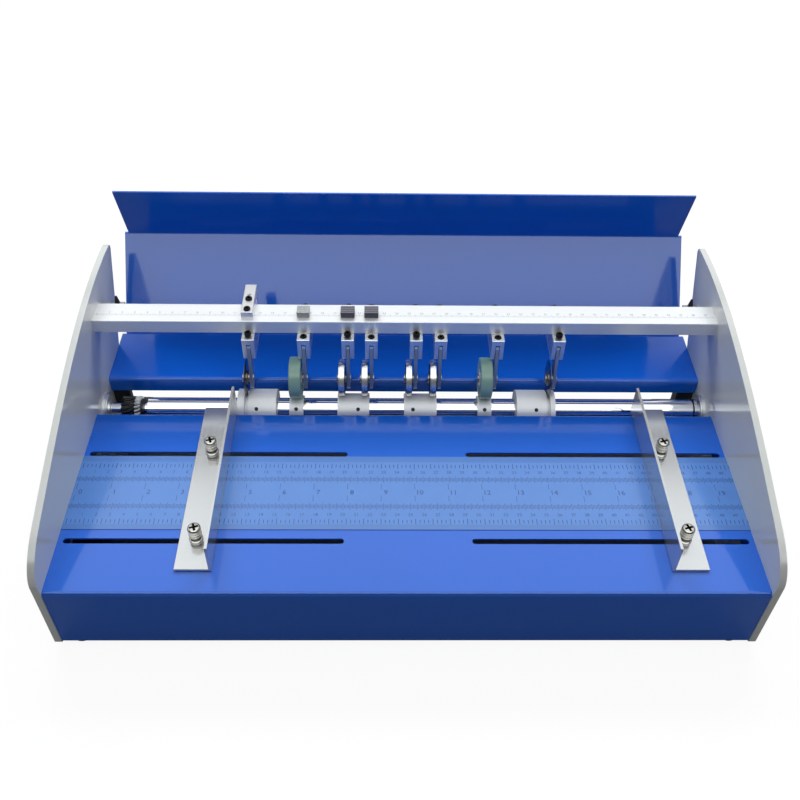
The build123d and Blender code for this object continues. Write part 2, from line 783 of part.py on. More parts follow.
# ================================================================ motor and mains inlet
gearbox_right = -half_width + gearbox_thickness
with BuildPart() as drive_motor:
    block((-half_width, gearbox_y[0], gearbox_z[0]), (gearbox_right, gearbox_y[1], gearbox_z[1]))
    fillet(drive_motor.edges().filter_by(Axis.X), motor_corner)
    motor_y = pinion_y - motor_setback
    motor_z = pinion_z - motor_drop
    cylinder_x(motor_radius, gearbox_right, gearbox_right + motor_length, motor_y, motor_z)
    fillet(drive_motor.faces().sort_by(Axis.X)[-1].edges(), motor_corner)
    output_bore = output_radius + running_fit
    cylinder_x(output_bore, -half_width, gearbox_right, pinion_y, pinion_z, mode=Mode.SUBTRACT)
save(drive_motor, "drive_motor")

# Inlet with a rocker switch, clipped into the left side plate.
inlet_mid_y = sum(inlet_y) / 2
inlet_mid_z = sum(inlet_z) / 2
inlet_seat = -half_width - plate_thickness
inlet_face = inlet_seat - inlet_proud
with BuildPart() as power_inlet:
    block((inlet_seat, inlet_y[0], inlet_z[0]), (-half_width + inlet_depth, inlet_y[1], inlet_z[1]))
    block(
        (inlet_face, inlet_y[0] - inlet_rim, inlet_z[0] - inlet_rim),
        (inlet_seat, inlet_y[1] + inlet_rim, inlet_z[1] + inlet_rim),
    )
    with BuildSketch(Plane.YZ.offset(inlet_face)):
        with Locations((inlet_mid_y + socket_centre, inlet_mid_z)):
            RectangleRounded(socket_width, socket_height, socket_corner)
    extrude(amount=socket_depth, mode=Mode.SUBTRACT)
    with BuildSketch(Plane.YZ.offset(inlet_face + socket_depth)):
        with Locations((inlet_mid_y + socket_centre, inlet_mid_z)):
            with Locations(
                (-contact_spread, -contact_offset),
                (contact_spread, -contact_offset),
                (0.0, contact_offset),
            ):
                Rectangle(contact_width, contact_length)
    extrude(amount=-contact_reach)
    rocker_y = inlet_mid_y + rocker_centre
    rocker_pocket = rocker_width / 2 + free_gap
    block(
        (inlet_face, rocker_y - rocker_pocket, inlet_mid_z - rocker_half - rocker_end_gap),
        (
            inlet_face + rocker_pocket_depth,
            rocker_y + rocker_pocket,
            inlet_mid_z + rocker_half + rocker_end_gap,
        ),
        mode=Mode.SUBTRACT,
    )
    pin_reach = rocker_pocket + rocker_pin_reach
    rocker_x = inlet_face + rocker_axis_depth
    with BuildSketch(Plane.XZ.offset(-rocker_y - pin_reach)):
        with Locations((rocker_x, inlet_mid_z)):
            Circle(rocker_pin_radius + running_fit)
    extrude(amount=2 * pin_reach, mode=Mode.SUBTRACT)
save(power_inlet, "power_inlet")

with BuildPart() as power_rocker:
    rocker_plane = Plane(
        origin=(rocker_x, rocker_y - rocker_width / 2, inlet_mid_z),
        x_dir=(cos(radians(rocker_tilt)), 0, sin(radians(rocker_tilt))),
        z_dir=(0, 1, 0),
    )
    with BuildSketch(rocker_plane):
        with BuildLine():
            Polyline(
                (-rocker_rise - rocker_dish, rocker_half),
                (-rocker_rise, 0),
                (-rocker_rise - rocker_dish, -rocker_half),
                (rocker_skirt, -rocker_half),
                (rocker_body, -rocker_half / 3),
                (rocker_body, rocker_half / 3),
                (rocker_skirt, rocker_half),
                close=True,
            )
        make_face()
    extrude(amount=rocker_width)
    with BuildSketch(Plane.XZ.offset(-rocker_y - pin_reach + free_gap)):
        with Locations((rocker_x, inlet_mid_z)):
            Circle(rocker_pin_radius)
    extrude(amount=2 * (pin_reach - free_gap))
save(power_rocker, "power_rocker")

# ================================================================ paper guides
slot_rows = [front + setback for setback in slot_setback]
for face_x, outward, name in ((guide_faces[0], -1, "left"), (guide_faces[1], 1, "right")):
    guide_z = table_z + guide_lift
    guide_y = (front + guide_front, front + guide_back)
    flange_x = sorted((face_x, face_x + outward * guide_leg))
    wall_x = sorted((face_x, face_x + outward * guide_thickness))
    screw_x = face_x + outward * guide_screw_offset
    with BuildPart() as guide:
        block((flange_x[0], guide_y[0], guide_z), (flange_x[1], guide_y[1], guide_z + guide_thickness))
        block((wall_x[0], guide_y[0], guide_z), (wall_x[1], guide_y[1], guide_z + guide_leg))
        with BuildSketch(Plane.XY.offset(guide_z)):
            with Locations(*[(screw_x, y) for y in slot_rows]):
                Circle(thumb_hole_radius)
        extrude(amount=guide_thickness, mode=Mode.SUBTRACT)
    save(guide, f"{name}_guide")

    with BuildPart() as thumb_screws:
        seat = guide_z + guide_thickness
        stack = (
            (thumb_ring_radius, thumb_ring_height),
            (thumb_neck_radius, thumb_neck_height),
            (thumb_head_radius, thumb_head_height),
        )
        level = seat
        for radius, height in stack:
            with BuildSketch(Plane.XY.offset(level)):
                with Locations(*[(screw_x, y) for y in slot_rows]):
                    Circle(radius)
            extrude(amount=height)
            level += height
        with BuildSketch(Plane.XY.offset(level)):
            with Locations(*[(screw_x, y) for y in slot_rows]):
                Rectangle(cross_length, cross_width)
                Rectangle(cross_width, cross_length)
        extrude(amount=-cross_depth, mode=Mode.SUBTRACT)
        nut_top = table_z - sheet - nut_gap
        with BuildSketch(Plane.XY.offset(nut_top)):
            with Locations(*[(screw_x, y) for y in slot_rows]):
                Rectangle(nut_width, nut_width)
        extrude(amount=-nut_height)
        with BuildSketch(Plane.XY.offset(seat)):
            with Locations(*[(screw_x, y) for y in slot_rows]):
                Circle(thumb_shank_radius)
        extrude(amount=nut_top - nut_height - thumb_tip - seat)
    save(thumb_screws, f"{name}_thumb_screws")

# ================================================================ tool stations
def hanger_block(x, raised, lug_top):
    """Hanger: hooks into the bar's tee slot, holds the arm in a slot and the lock screw in its rear lug."""
    under = bar_bottom - hanger_gap
    behind = bar_back + hanger_gap
    with BuildPart() as hanger:
        with BuildSketch(Plane.YZ.offset(x - hanger_width / 2)):
            with BuildLine():
                Polyline(
                    (hanger_front, hanger_bottom),
                    (hanger_front, under),
                    (behind, under),
                    (behind, lug_top),
                    (hanger_back, lug_top),
                    (hanger_back, hanger_bottom),
                    close=True,
                )
            make_face()
        extrude(amount=hanger_width)
        chamfer(hanger.edges().filter_by(Axis.X).group_by(Axis.Y)[0], edge_break)
        neck = tee_mouth / 2 - tee_fit
        tongue = tee_width / 2 - tee_fit
        tongue_z = bar_bottom + tee_mouth_height + tee_fit
        tongue_top = bar_bottom + tee_mouth_height + tee_height - tee_fit
        left, right = x - hanger_width / 2, x + hanger_width / 2
        block((left, tee_y - neck, under - cut_margin), (right, tee_y + neck, tongue_top))
        block((left, tee_y - tongue, tongue_z), (right, tee_y + tongue, tongue_top))
        block(
            (x - hanger_slot / 2, hanger_front - cut_margin, hanger_bottom),
            (x + hanger_slot / 2, slot_back, slot_ceiling),
            mode=Mode.SUBTRACT,
        )
        cylinder_x(pivot_radius, left, right, pivot_y, pivot_z, mode=Mode.SUBTRACT)
        with BuildSketch(Plane.XY.offset(slot_ceiling)):
            with Locations((x, pressure_y)):
                Circle(screw_radius)
        extrude(amount=under - slot_ceiling, mode=Mode.SUBTRACT)
        if not raised:
            with BuildSketch(Plane.XY.offset(under + sunk_top - screw_head_height)):
                with Locations((x, pressure_y)):
                    Circle(screw_head_radius + counterbore_gap)
            extrude(amount=screw_head_height, mode=Mode.SUBTRACT)
        if lug_top > bar_top:
            with BuildSketch(Plane.XY.offset(lug_top)):
                with Locations((x, clamp_pin_y)):
                    Circle(screw_radius)
            extrude(amount=-clamp_pin_depth, mode=Mode.SUBTRACT)
        with BuildSketch(Plane.XZ.offset(-hanger_back)):
            with Locations((x, table_z + lock_rise)):
                Circle(screw_radius)
        extrude(amount=hanger_back - behind, mode=Mode.SUBTRACT)
    return hanger


def socket_screw(seat, length):
    """Socket-head screw: seat is the plane under its head, and its shank runs length against the normal."""
    with BuildSketch(seat) as head:
        Circle(screw_head_radius)
    extrude(head.sketch, amount=screw_head_height)
    with BuildSketch(seat) as shank:
        Circle(screw_radius)
    extrude(shank.sketch, amount=-length)
    with BuildSketch(seat.offset(screw_head_height)) as hexagon:
        RegularPolygon(hex_width / 2, 6, major_radius=False)
    extrude(hexagon.sketch, amount=-hex_depth, mode=Mode.SUBTRACT)


def station_screws(x, raised, pad, clamped):
    """Pressure screw, pivot pin and lock screw of one hanger, with what sits above the bar: a pad of that
    width, or the two clamp screws and the pin that joins the clamp bar to the hanger."""
    under = bar_bottom - hanger_gap
    head_z = under + (raised_by if raised else sunk_top) - screw_head_height
    with BuildPart() as screws:
        socket_screw(Plane.XY.offset(head_z).move(Location((x, pressure_y, 0))), head_z - slot_ceiling)
        cylinder_x(pivot_radius, x - hanger_width / 2, x + hanger_width / 2, pivot_y, pivot_z)
        lock_seat = Plane(origin=(x, hanger_back, table_z + lock_rise), x_dir=(1, 0, 0), z_dir=(0, 1, 0))
        socket_screw(lock_seat, hanger_back - bar_back - free_gap)
        if pad > 0:
            block(
                (x - pad / 2, bar_front + pad_setback, bar_top),
                (x + pad / 2, bar_front + pad_setback + pad_depth, bar_top + pad_height),
            )
        if clamped:
            clamp_top = bar_top + hanger_gap + clamp_height
            for y in clamp_screw_y:
                clamp_seat = Plane.XY.offset(clamp_top - hex_depth).move(Location((x, y, 0)))
                socket_screw(clamp_seat, clamp_height - hex_depth)
            with BuildSketch(Plane.XY.offset(clamp_top)) as pin:
                with Locations((x, clamp_pin_y)):
                    Circle(screw_radius)
            extrude(pin.sketch, amount=-clamp_height - clamp_pin_depth)
    return screws


def lever_arm(x):
    """Steel arm with its riveted wheel stud. It hangs from the pivot inside the hanger's slot."""
    foot_z = axle_z - arm_tail
    front_foot = axle_y - arm_ahead - arm_slant * arm_tail / (arm_top - foot_z)
    front_top = front_foot + arm_slant
    elbow = pivot_z - pivot_boss
    slope = arm_slant / (arm_top - foot_z)
    tool = station_tool[station_x.index(x)]
    reach = {"crease": crease_width, "feed": feed_width, "blade": blade_hub_width}[tool]
    with BuildPart() as arm:
        with BuildSketch(Plane.YZ.offset(x - arm_thickness / 2)):
            with BuildLine():
                Polyline(
                    (front_foot, foot_z),
                    (front_top, arm_top),
                    (pivot_y, arm_top - arm_top_fall),
                    (pivot_y, elbow),
                    (front_foot + arm_width + slope * (elbow - foot_z), elbow),
                    (front_foot + arm_width, foot_z),
                    close=True,
                )
            make_face()
            with Locations((pivot_y, pivot_z)):
                Circle(pivot_boss)
        extrude(amount=arm_thickness)
        fillet(arm.edges().filter_by(Axis.X).group_by(Axis.Z)[0], arm_corner)
        pivot_bore = pivot_radius + running_fit
        cylinder_x(pivot_bore, x - arm_thickness, x + arm_thickness, pivot_y, pivot_z, mode=Mode.SUBTRACT)
        wheel_right = x - wheel_face
        wheel_left = wheel_right - reach
        cylinder_x(spacer_radius, wheel_right + side_play, x - arm_thickness / 2, axle_y, axle_z)
        cylinder_x(stud_radius, wheel_left - side_play, x, axle_y, axle_z)
        head_right = wheel_left - side_play
        cylinder_x(stud_head_radius, head_right - stud_head, head_right, axle_y, axle_z)
        arm_right = x + arm_thickness / 2
        cylinder_x(spacer_radius, arm_right, arm_right + stud_rivet, axle_y, axle_z)
    return arm


def crease_wheel(x):
    """Chrome creasing wheel: a raised rim in the middle of its tread."""
    right = x - wheel_face
    left = right - crease_width
    with BuildPart() as wheel:
        cylinder_x(crease_radius - crease_step, left, right, axle_y, axle_z)
        cylinder_x(crease_radius, left + crease_rim, right - crease_rim, axle_y, axle_z)
        cylinder_x(stud_radius + running_fit, left, right, axle_y, axle_z, mode=Mode.SUBTRACT)
    return wheel


def feed_roller(x):
    """Green rubber feed roller with chamfered shoulders."""
    right = x - wheel_face
    left = right - feed_width
    with BuildPart() as wheel:
        cylinder_x(feed_radius, left, right, axle_y, axle_z)
        rims = wheel.edges().filter_by(GeomType.CIRCLE)
        chamfer(rims, feed_rim)
        cylinder_x(stud_radius + running_fit, left, right, axle_y, axle_z, mode=Mode.SUBTRACT)
    return wheel


def slitting_blade(x):
    """Thin steel disc with a bevelled edge, on a small hub."""
    right = x - wheel_face
    left = right - blade_hub_width
    middle = (left + right) / 2
    with BuildPart() as wheel:
        cylinder_x(blade_hub_radius, left, right, axle_y, axle_z)
        cylinder_x(blade_radius, middle - blade_thickness / 2, middle + blade_thickness / 2, axle_y, axle_z)
        rim = wheel.edges().filter_by(GeomType.CIRCLE).sort_by(SortBy.RADIUS)[-2:]
        chamfer(rim, (blade_thickness - blade_tip) / 2, blade_edge)
        cylinder_x(stud_radius + running_fit, left, right, axle_y, axle_z, mode=Mode.SUBTRACT)
    return wheel


make_tool = {"crease": crease_wheel, "feed": feed_roller, "blade": slitting_blade}
for number, x in enumerate(station_x, start=1):
    raised = screw_raised[number - 1]
    tool = station_tool[number - 1]
    clamped = number == 1
    lug_top = bar_top + hanger_gap if clamped else table_z + lug_rise
    save(hanger_block(x, raised, lug_top), f"hanger_{number}")
    save(station_screws(x, raised, pad_width[number - 1], clamped), f"station_screws_{number}")
    save(lever_arm(x), f"arm_{number}")
    save(make_tool[tool](x), f"{tool_node[tool]}_{number}")

# Clamp bar across the tool bar over hanger 1. It is pinned to the hanger's lug and clamps with two screws.
with BuildPart() as clamp_bar:
    clamp_bottom = bar_top + hanger_gap
    clamp_mid = (clamp_front + clamp_back) / 2
    with BuildSketch(Plane.XY.offset(clamp_bottom)):
        with Locations((station_x[0], clamp_mid)):
            Rectangle(clamp_width, clamp_back - clamp_front)
    extrude(amount=clamp_height)
    chamfer(clamp_bar.faces().sort_by(Axis.Z)[-1].edges(), edge_break)
    for y in (*clamp_screw_y, clamp_pin_y):
        with BuildSketch(Plane.XY.offset(clamp_bottom)):
            with Locations((station_x[0], y)):
                Circle(screw_radius)
        extrude(amount=clamp_height, mode=Mode.SUBTRACT)
    for y in clamp_screw_y:
        with BuildSketch(Plane.XY.offset(clamp_bottom + clamp_height)):
            with Locations((station_x[0], y)):
                Circle(screw_head_radius)
        extrude(amount=-hex_depth, mode=Mode.SUBTRACT)
save(clamp_bar, "clamp_bar")
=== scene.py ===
import json
import math

import bpy
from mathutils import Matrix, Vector

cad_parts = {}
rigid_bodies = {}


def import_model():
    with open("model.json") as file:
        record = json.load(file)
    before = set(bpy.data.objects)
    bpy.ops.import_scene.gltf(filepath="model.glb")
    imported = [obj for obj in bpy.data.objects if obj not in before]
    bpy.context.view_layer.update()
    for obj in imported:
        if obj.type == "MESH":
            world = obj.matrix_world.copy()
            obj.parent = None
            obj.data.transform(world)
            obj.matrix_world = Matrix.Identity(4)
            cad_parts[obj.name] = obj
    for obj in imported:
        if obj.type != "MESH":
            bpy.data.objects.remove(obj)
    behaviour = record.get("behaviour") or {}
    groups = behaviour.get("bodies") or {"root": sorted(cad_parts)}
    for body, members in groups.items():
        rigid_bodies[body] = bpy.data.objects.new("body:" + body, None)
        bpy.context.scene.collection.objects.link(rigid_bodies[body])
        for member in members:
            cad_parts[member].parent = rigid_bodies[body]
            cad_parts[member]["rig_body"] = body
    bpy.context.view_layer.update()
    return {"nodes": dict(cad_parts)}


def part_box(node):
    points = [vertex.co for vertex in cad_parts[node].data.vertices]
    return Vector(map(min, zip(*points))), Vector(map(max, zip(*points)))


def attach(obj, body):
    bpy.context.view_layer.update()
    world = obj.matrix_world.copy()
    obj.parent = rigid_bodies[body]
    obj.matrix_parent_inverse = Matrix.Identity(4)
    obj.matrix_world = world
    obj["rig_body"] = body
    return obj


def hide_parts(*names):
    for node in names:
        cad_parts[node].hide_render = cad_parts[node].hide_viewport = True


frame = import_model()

nodes = frame["nodes"]


# --------------------------------------------------------------------- side plates
# Two tall plates of 5 mm steel that carry everything between them. They are cut to a curved outline, with
# eased edges, and are sprayed a glossy light grey that mirrors the table and the shaft.
class Value:
    """One output in a node tree. Python arithmetic on it adds Math nodes."""

    def __init__(self, owner, socket):
        self.owner = owner
        self.socket = socket

    def math(self, operation, *operands):
        return self.owner.add("ShaderNodeMath", {"operation": operation}, dict(enumerate(operands)))

    def __add__(self, other):
        return self.math("ADD", self, other)

    def __sub__(self, other):
        return self.math("SUBTRACT", self, other)

    def __rsub__(self, other):
        return self.math("SUBTRACT", other, self)

    def __mul__(self, other):
        return self.math("MULTIPLY", self, other)

    def __truediv__(self, other):
        return self.math("DIVIDE", self, other)

    def __gt__(self, other):
        return self.math("GREATER_THAN", self, other)

    def __lt__(self, other):
        return self.math("LESS_THAN", self, other)

    def __or__(self, other):
        return self.math("MAXIMUM", self, other)

    def __abs__(self):
        return self.math("ABSOLUTE", self)

    def fraction(self):
        return self.math("FRACT", self)

    def root(self):
        return self.math("SQRT", self)

    __radd__ = __add__
    __rmul__ = __mul__


class NodeTree:
    """The nodes of a finish or of the sky."""

    def __init__(self, tree):
        self.tree = tree

    def add(self, kind, settings=None, sockets=None, output=0):
        """Adds one node: its settings first, then a value or a link for each named or numbered socket."""
        node = self.tree.nodes.new(kind)
        for name, value in (settings or {}).items():
            setattr(node, name, value)
        for name, value in (sockets or {}).items():
            if isinstance(value, Value):
                self.tree.links.new(value.socket, node.inputs[name])
            else:
                node.inputs[name].default_value = value
        return Value(self, node.outputs[output])


class Finish(NodeTree):
    """A surface finish: a Principled shader with constants on its sockets, and any nodes behind it."""

    def __init__(self, name, **constants):
        self.material = bpy.data.materials.new(name)
        self.material.use_nodes = True
        super().__init__(self.material.node_tree)
        self.shader = self.tree.nodes["Principled BSDF"]
        self.ground = None  # its own colour, before marks and prints
        for socket, value in constants.items():
            self.shader.inputs[socket.replace("_", " ")].default_value = value

    def noise(self, scale, detail=2.0, stretch=(1.0, 1.0, 1.0)):
        """Smooth noise from 0 to 1, in cells to the metre. A small stretch draws it out along an axis."""
        place = self.add("ShaderNodeTexCoord", output="Object")
        place = self.add("ShaderNodeMapping", None, {"Vector": place, "Scale": stretch})
        return self.add("ShaderNodeTexNoise", None, {"Vector": place, "Scale": scale, "Detail": detail})

    def along(self, axis):
        """How far each point of the piece lies along X, Y or Z."""
        place = self.add("ShaderNodeTexCoord", output="Object")
        return self.add("ShaderNodeSeparateXYZ", None, {0: place}, output="XYZ".index(axis))

    def mix(self, share, first, second):
        """First colour where share is 0, second where it is 1."""
        sockets = {0: share, 6: first, 7: second}
        return self.add("ShaderNodeMix", {"data_type": "RGBA"}, sockets, output=2)

    def bump(self, height, strength, distance):
        sockets = {"Height": height, "Strength": strength, "Distance": distance}
        return self.add("ShaderNodeBump", None, sockets)

    def feed(self, **values):
        """Links values to the shader's sockets."""
        for name, value in values.items():
            self.tree.links.new(value.socket, self.shader.inputs[name.replace("_", " ")])
        return self

    def on(self, *pieces):
        """Gives pieces this finish alone."""
        for piece in pieces:
            piece.data.materials.clear()
            piece.data.materials.append(self.material)


def coated(name, cells, dark, light, bump=None, detail=2.0, **constants):
    """A finish that drifts between two colours, in cells to the metre. Bump: cells, strength, depth."""
    finish = Finish(name, **constants)
    finish.ground = finish.mix(finish.noise(cells, detail), (*dark, 1), (*light, 1))
    finish.feed(Base_Color=finish.ground)
    if bump:
        bump_cells, strength, depth = bump
        finish.feed(Normal=finish.bump(finish.noise(bump_cells), strength, depth))
    return finish


def pick(*pieces):
    """Makes these the only selected objects, and the first of them active."""
    bpy.ops.object.select_all(action="DESELECT")
    for piece in pieces:
        piece.select_set(True)
    bpy.context.view_layer.objects.active = pieces[0]


def shape(piece, kind, **settings):
    """Adds a modifier to a piece and applies it."""
    pick(piece)
    modifier = piece.modifiers.new(kind.lower(), kind)
    for name, value in settings.items():
        setattr(modifier, name, value)
    bpy.ops.object.modifier_apply(modifier=modifier.name)


def ease(piece, width, angle=30.0):
    """Rounds a piece's sharp edges and shades it smooth between them, with its flat faces kept flat."""
    if width:
        sharp = {"limit_method": "ANGLE", "angle_limit": math.radians(angle)}
        shape(piece, "BEVEL", width=width, segments=2, use_clamp_overlap=True, **sharp)
    pick(piece)
    bpy.ops.object.shade_smooth_by_angle(angle=math.radians(angle))
    shape(piece, "WEIGHTED_NORMAL", keep_sharp=True, weight=100)


def merged_copy(node):
    """A copy of a CAD node's mesh as one sound surface, with flat faces whole."""
    piece = bpy.data.objects.new(f"{node}_piece", nodes[node].data.copy())
    bpy.context.scene.collection.objects.link(piece)
    pick(piece)
    bpy.ops.mesh.customdata_custom_splitnormals_clear()
    bpy.ops.object.mode_set(mode="EDIT")
    bpy.ops.mesh.select_all(action="SELECT")
    bpy.ops.mesh.remove_doubles(threshold=0.00001)
    bpy.ops.mesh.dissolve_limited(angle_limit=math.radians(0.5))
    bpy.ops.object.mode_set(mode="OBJECT")
    return piece


def stand_in(piece, node, finish):
    """The piece stands for a CAD node, moves with its body and takes a finish in its slot."""
    finish.on(piece)
    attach(piece, nodes[node]["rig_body"])
    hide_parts(node)
    return piece


def eased_copy(node, finish, width):
    """A copy of a CAD node with eased edges, standing for it."""
    piece = merged_copy(node)
    ease(piece, width)
    return stand_in(piece, node, finish)


plate_paint = coated(
    "plate_paint", 14.0, (0.69, 0.688, 0.665), (0.75, 0.748, 0.725), (350.0, 0.05, 0.0003),
    Roughness=0.13, Coat_Weight=0.25, Coat_Roughness=0.03,
)
for side in ("left", "right"):
    eased_copy(f"{side}_side_plate", plate_paint, 0.0006)

# ------------------------------------------------------------------- folded sheets
# Front table, rear table and cover, folded from sheet steel and powder coated a glossy cobalt blue.
# The coat flows into a faint orange peel. It is thinner, and a little darker, over the steel's grain.
blue_paint = coated(
    "blue_paint", 9.0, (0.005, 0.120, 0.64), (0.007, 0.133, 0.71), (420.0, 0.05, 0.0004), detail=4.0,
    Roughness=0.10, Coat_Weight=0.4, Coat_Roughness=0.03,
)
sheet_edge = 0.00025
for sheet in ("front_table", "rear_table"):
    eased_copy(sheet, blue_paint, sheet_edge)


def choose_faces(piece, test):
    """Selects the faces of a piece whose centre and normal pass a test, and leaves it in edit mode."""
    pick(piece)
    bpy.ops.object.mode_set(mode="EDIT")
    bpy.ops.mesh.select_mode(type="FACE")
    bpy.ops.mesh.select_all(action="DESELECT")
    bpy.ops.object.mode_set(mode="OBJECT")
    for face in piece.data.polygons:
        face.select = test(face.center, face.normal)
    bpy.ops.object.mode_set(mode="EDIT")


# Between its hinges, the cover's foot reaches down to the hinge line and closes the gap behind the table.
cover = merged_copy("top_cover")
foot_way = Vector((0.0, -0.652, -0.758))  # down along the open cover
foot_depth = 0.0061
foot_run = 0.030  # only faces that are longer than this reach down
foot_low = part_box("cover_hinge_pins")[1].z + 0.0006
foot_high = foot_low + 0.0012
foot_facing = 0.97  # cosine of the angle between a face's normal and foot_way
foot_faces = set()
for face in cover.data.polygons:
    ends = [cover.data.vertices[corner].co.x for corner in face.vertices]
    at_foot = foot_low < face.center.z < foot_high and face.normal.dot(foot_way) > foot_facing
    if at_foot and max(ends) - min(ends) > foot_run:
        foot_faces.add(tuple(face.center))
choose_faces(cover, lambda c, n: tuple(c) in foot_faces)
bpy.ops.mesh.extrude_region_move(TRANSFORM_OT_translate={"value": foot_way * foot_depth})
bpy.ops.object.mode_set(mode="OBJECT")
ease(cover, sheet_edge)
stand_in(cover, "top_cover", blue_paint)

# --------------------------------------------------------------------- ruler strip
# A clear printed film, stuck on the table between the slots. Its colour is the blue below it through a
# slight haze. Inches run along its middle, and centimetres along both edges.
film_low, film_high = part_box("ruler_strip")
apron_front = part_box("front_table")[0].y
scale_zero = -0.2478
inch = 0.02535
inch_row = apron_front + 0.0890
centimetre_rows = (apron_front + 0.0680, apron_front + 0.1088)
millimetre_rows = (apron_front + 0.0757, apron_front + 0.1018)
edge_rows = (apron_front + 0.0618, apron_front + 0.1150)
film_borders = (film_low.y + 0.0048, film_high.y - 0.0058)


def ticks(along, step, width):
    """1 on lines of a width, one to each step along an axis, and 0 between them."""
    share = width / (2.0 * step)
    return abs(((along - scale_zero) / step + 0.5).fraction() - 0.5) < share


def band(across, middle, half):
    """1 within half a width of a row's middle, and 0 elsewhere."""
    return abs(across - middle) < half


film = coated(
    "ruler_film_print", 60.0, (0.080, 0.225, 0.62), (0.098, 0.255, 0.67), detail=3.0,
    Roughness=0.16, Coat_Weight=0.4, Coat_Roughness=0.05,
)
film_x, film_y = film.along("X"), film.along("Y")
inch_line, inch_reach, number_gap = 0.0003, 0.0085, 0.003
inch_ticks = ticks(film_x, inch, inch_line) * band(film_y, inch_row, inch_reach)
print_mask = inch_ticks * (1 - band(film_y, inch_row, number_gap))
# Each kind of tick has its step, the width of its line and half its length.
millimetre_ticks = ((0.001, 0.00034, 0.0018), (0.005, 0.00036, 0.0030))
edge_ticks = ((inch / 8, 0.0005, 0.0016), (inch / 2, 0.0005, 0.0025))
for rows, kinds in ((millimetre_rows, millimetre_ticks), (edge_rows, edge_ticks)):
    for row in rows:
        for step, width, reach in kinds:
            print_mask = print_mask | ticks(film_x, step, width) * band(film_y, row, reach)
border = (film_y < film_borders[0]) | (film_y > film_borders[1])
border_share, print_share = 0.6, 0.92
film_ground = film.mix(border * border_share, film.ground, (0.07, 0.18, 0.50, 1))
film.feed(Base_Color=film.mix(print_mask * print_share, film_ground, (0.01, 0.05, 0.2, 1)))
film.on(nodes["ruler_strip"])


print_thickness = 0.00002


def print_numbers(name, marks, height, level, ink, body):
    """Flat printed numbers: each mark is (text, x, y). They are joined as one piece."""
    printed = []
    for text, x, y in marks:
        bpy.ops.object.text_add()
        number = bpy.context.object
        number.data.body = text
        number.data.size = height
        number.data.align_x = "CENTER"
        number.data.align_y = "CENTER"
        number.data.resolution_u = 2
        number.data.extrude = print_thickness / 2
        bpy.ops.object.convert(target="MESH")
        number.location = (x, y, level + print_thickness / 2)
        bpy.ops.object.transform_apply()
        printed.append(number)
    pick(*printed)
    bpy.ops.object.join()
    numbers = bpy.context.object
    numbers.name = name
    ink.on(numbers)
    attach(numbers, body)


film_ink = coated("film_ink", 700.0, (0.008, 0.045, 0.19), (0.016, 0.07, 0.26), Roughness=0.35)
beside_line = 0.0035  # each inch's number stands this far to the right of its line
inch_marks = [(str(n), scale_zero + n * inch + beside_line, inch_row) for n in range(20)]
centimetre_marks = [
    (str(n), scale_zero + n * 0.01, row) for row in centimetre_rows for n in range(1, 50)
]
print_numbers("ruler_inch_numbers", inch_marks, 0.0062, film_high.z, film_ink, "base")
print_numbers("ruler_cm_numbers", centimetre_marks, 0.0038, film_high.z, film_ink, "base")

# -------------------------------------------------------------------- paper guides
# Two aluminium angles, sawn from extruded stock and brushed along their length. Their edges are only
# broken, so they catch the light as thin bright lines.
def greys(tone):
    """The darkest and the lightest colour of aluminium's grain."""
    return (tone * 0.94, tone * 0.94, tone * 0.95, 1), (tone, tone, tone * 1.01, 1)


def brushed(name, stretch, colours, roughness, lines=900.0, metallic=0.8, depth=0.08):
    """Satin metal whose fine lines run along the axis where stretch is small."""
    finish = Finish(name, Metallic=metallic)
    grain = finish.noise(lines, 4.0, stretch)
    finish.ground = finish.mix(grain, *colours)
    finish.feed(
        Base_Color=finish.ground,
        Roughness=grain * 0.10 + (roughness - 0.05),
        Normal=finish.bump(grain, depth, 0.00004),
    )
    return finish


guide_metal = brushed("guide_aluminium", (1.0, 0.02, 1.0), greys(0.62), 0.19, depth=0.03)
for side in ("left", "right"):
    eased_copy(f"{side}_guide", guide_metal, 0.0003)

# -------------------------------------------------------------------- thumb screws
# Four turned brass thumb screws, knurled and nickel plated, with a cross recess. Each clamps its guide to
# the table through a slot, against a square nut below.
def turned(name, outline, sides, centre=(0, 0, 0), axis="Z"):
    """A turned piece: an outline of (radius, distance along the axis) spun once around that axis."""
    along = Vector((0, 0, 1)) if axis == "Z" else Vector((1, 0, 0))
    across = Vector((1, 0, 0)) if axis == "Z" else Vector((0, 0, 1))
    points = [Vector(centre) + across * radius + along * step for radius, step in outline]
    bpy.ops.mesh.primitive_plane_add(size=0.001, location=points[0])
    bpy.ops.object.mode_set(mode="EDIT")
    bpy.ops.mesh.select_mode(type="VERT")
    bpy.ops.mesh.merge(type="CENTER")
    for start, end in zip(points, points[1:]):
        bpy.ops.mesh.extrude_vertices_move(TRANSFORM_OT_translate={"value": end - start})
    bpy.ops.mesh.select_all(action="SELECT")
    bpy.ops.mesh.spin(steps=sides, angle=2 * math.pi, center=centre, axis=along)
    bpy.ops.mesh.select_all(action="SELECT")
    bpy.ops.mesh.remove_doubles(threshold=0.000005)
    bpy.ops.mesh.normals_make_consistent(inside=False)
    bpy.ops.object.mode_set(mode="OBJECT")
    piece = bpy.context.object
    piece.name = name
    pick(piece)
    bpy.ops.object.transform_apply()
    return piece


def knurl(piece, test, margin, depth):
    """Sinks a small pocket in each chosen face, so that the ridges between them stand up as a knurl."""
    choose_faces(piece, test)
    bpy.ops.mesh.inset(thickness=margin, depth=-depth, use_individual=True)
    bpy.ops.object.mode_set(mode="OBJECT")


def discard(*models):
    """Removes models that are done with."""
    for model in models:
        bpy.data.objects.remove(model)


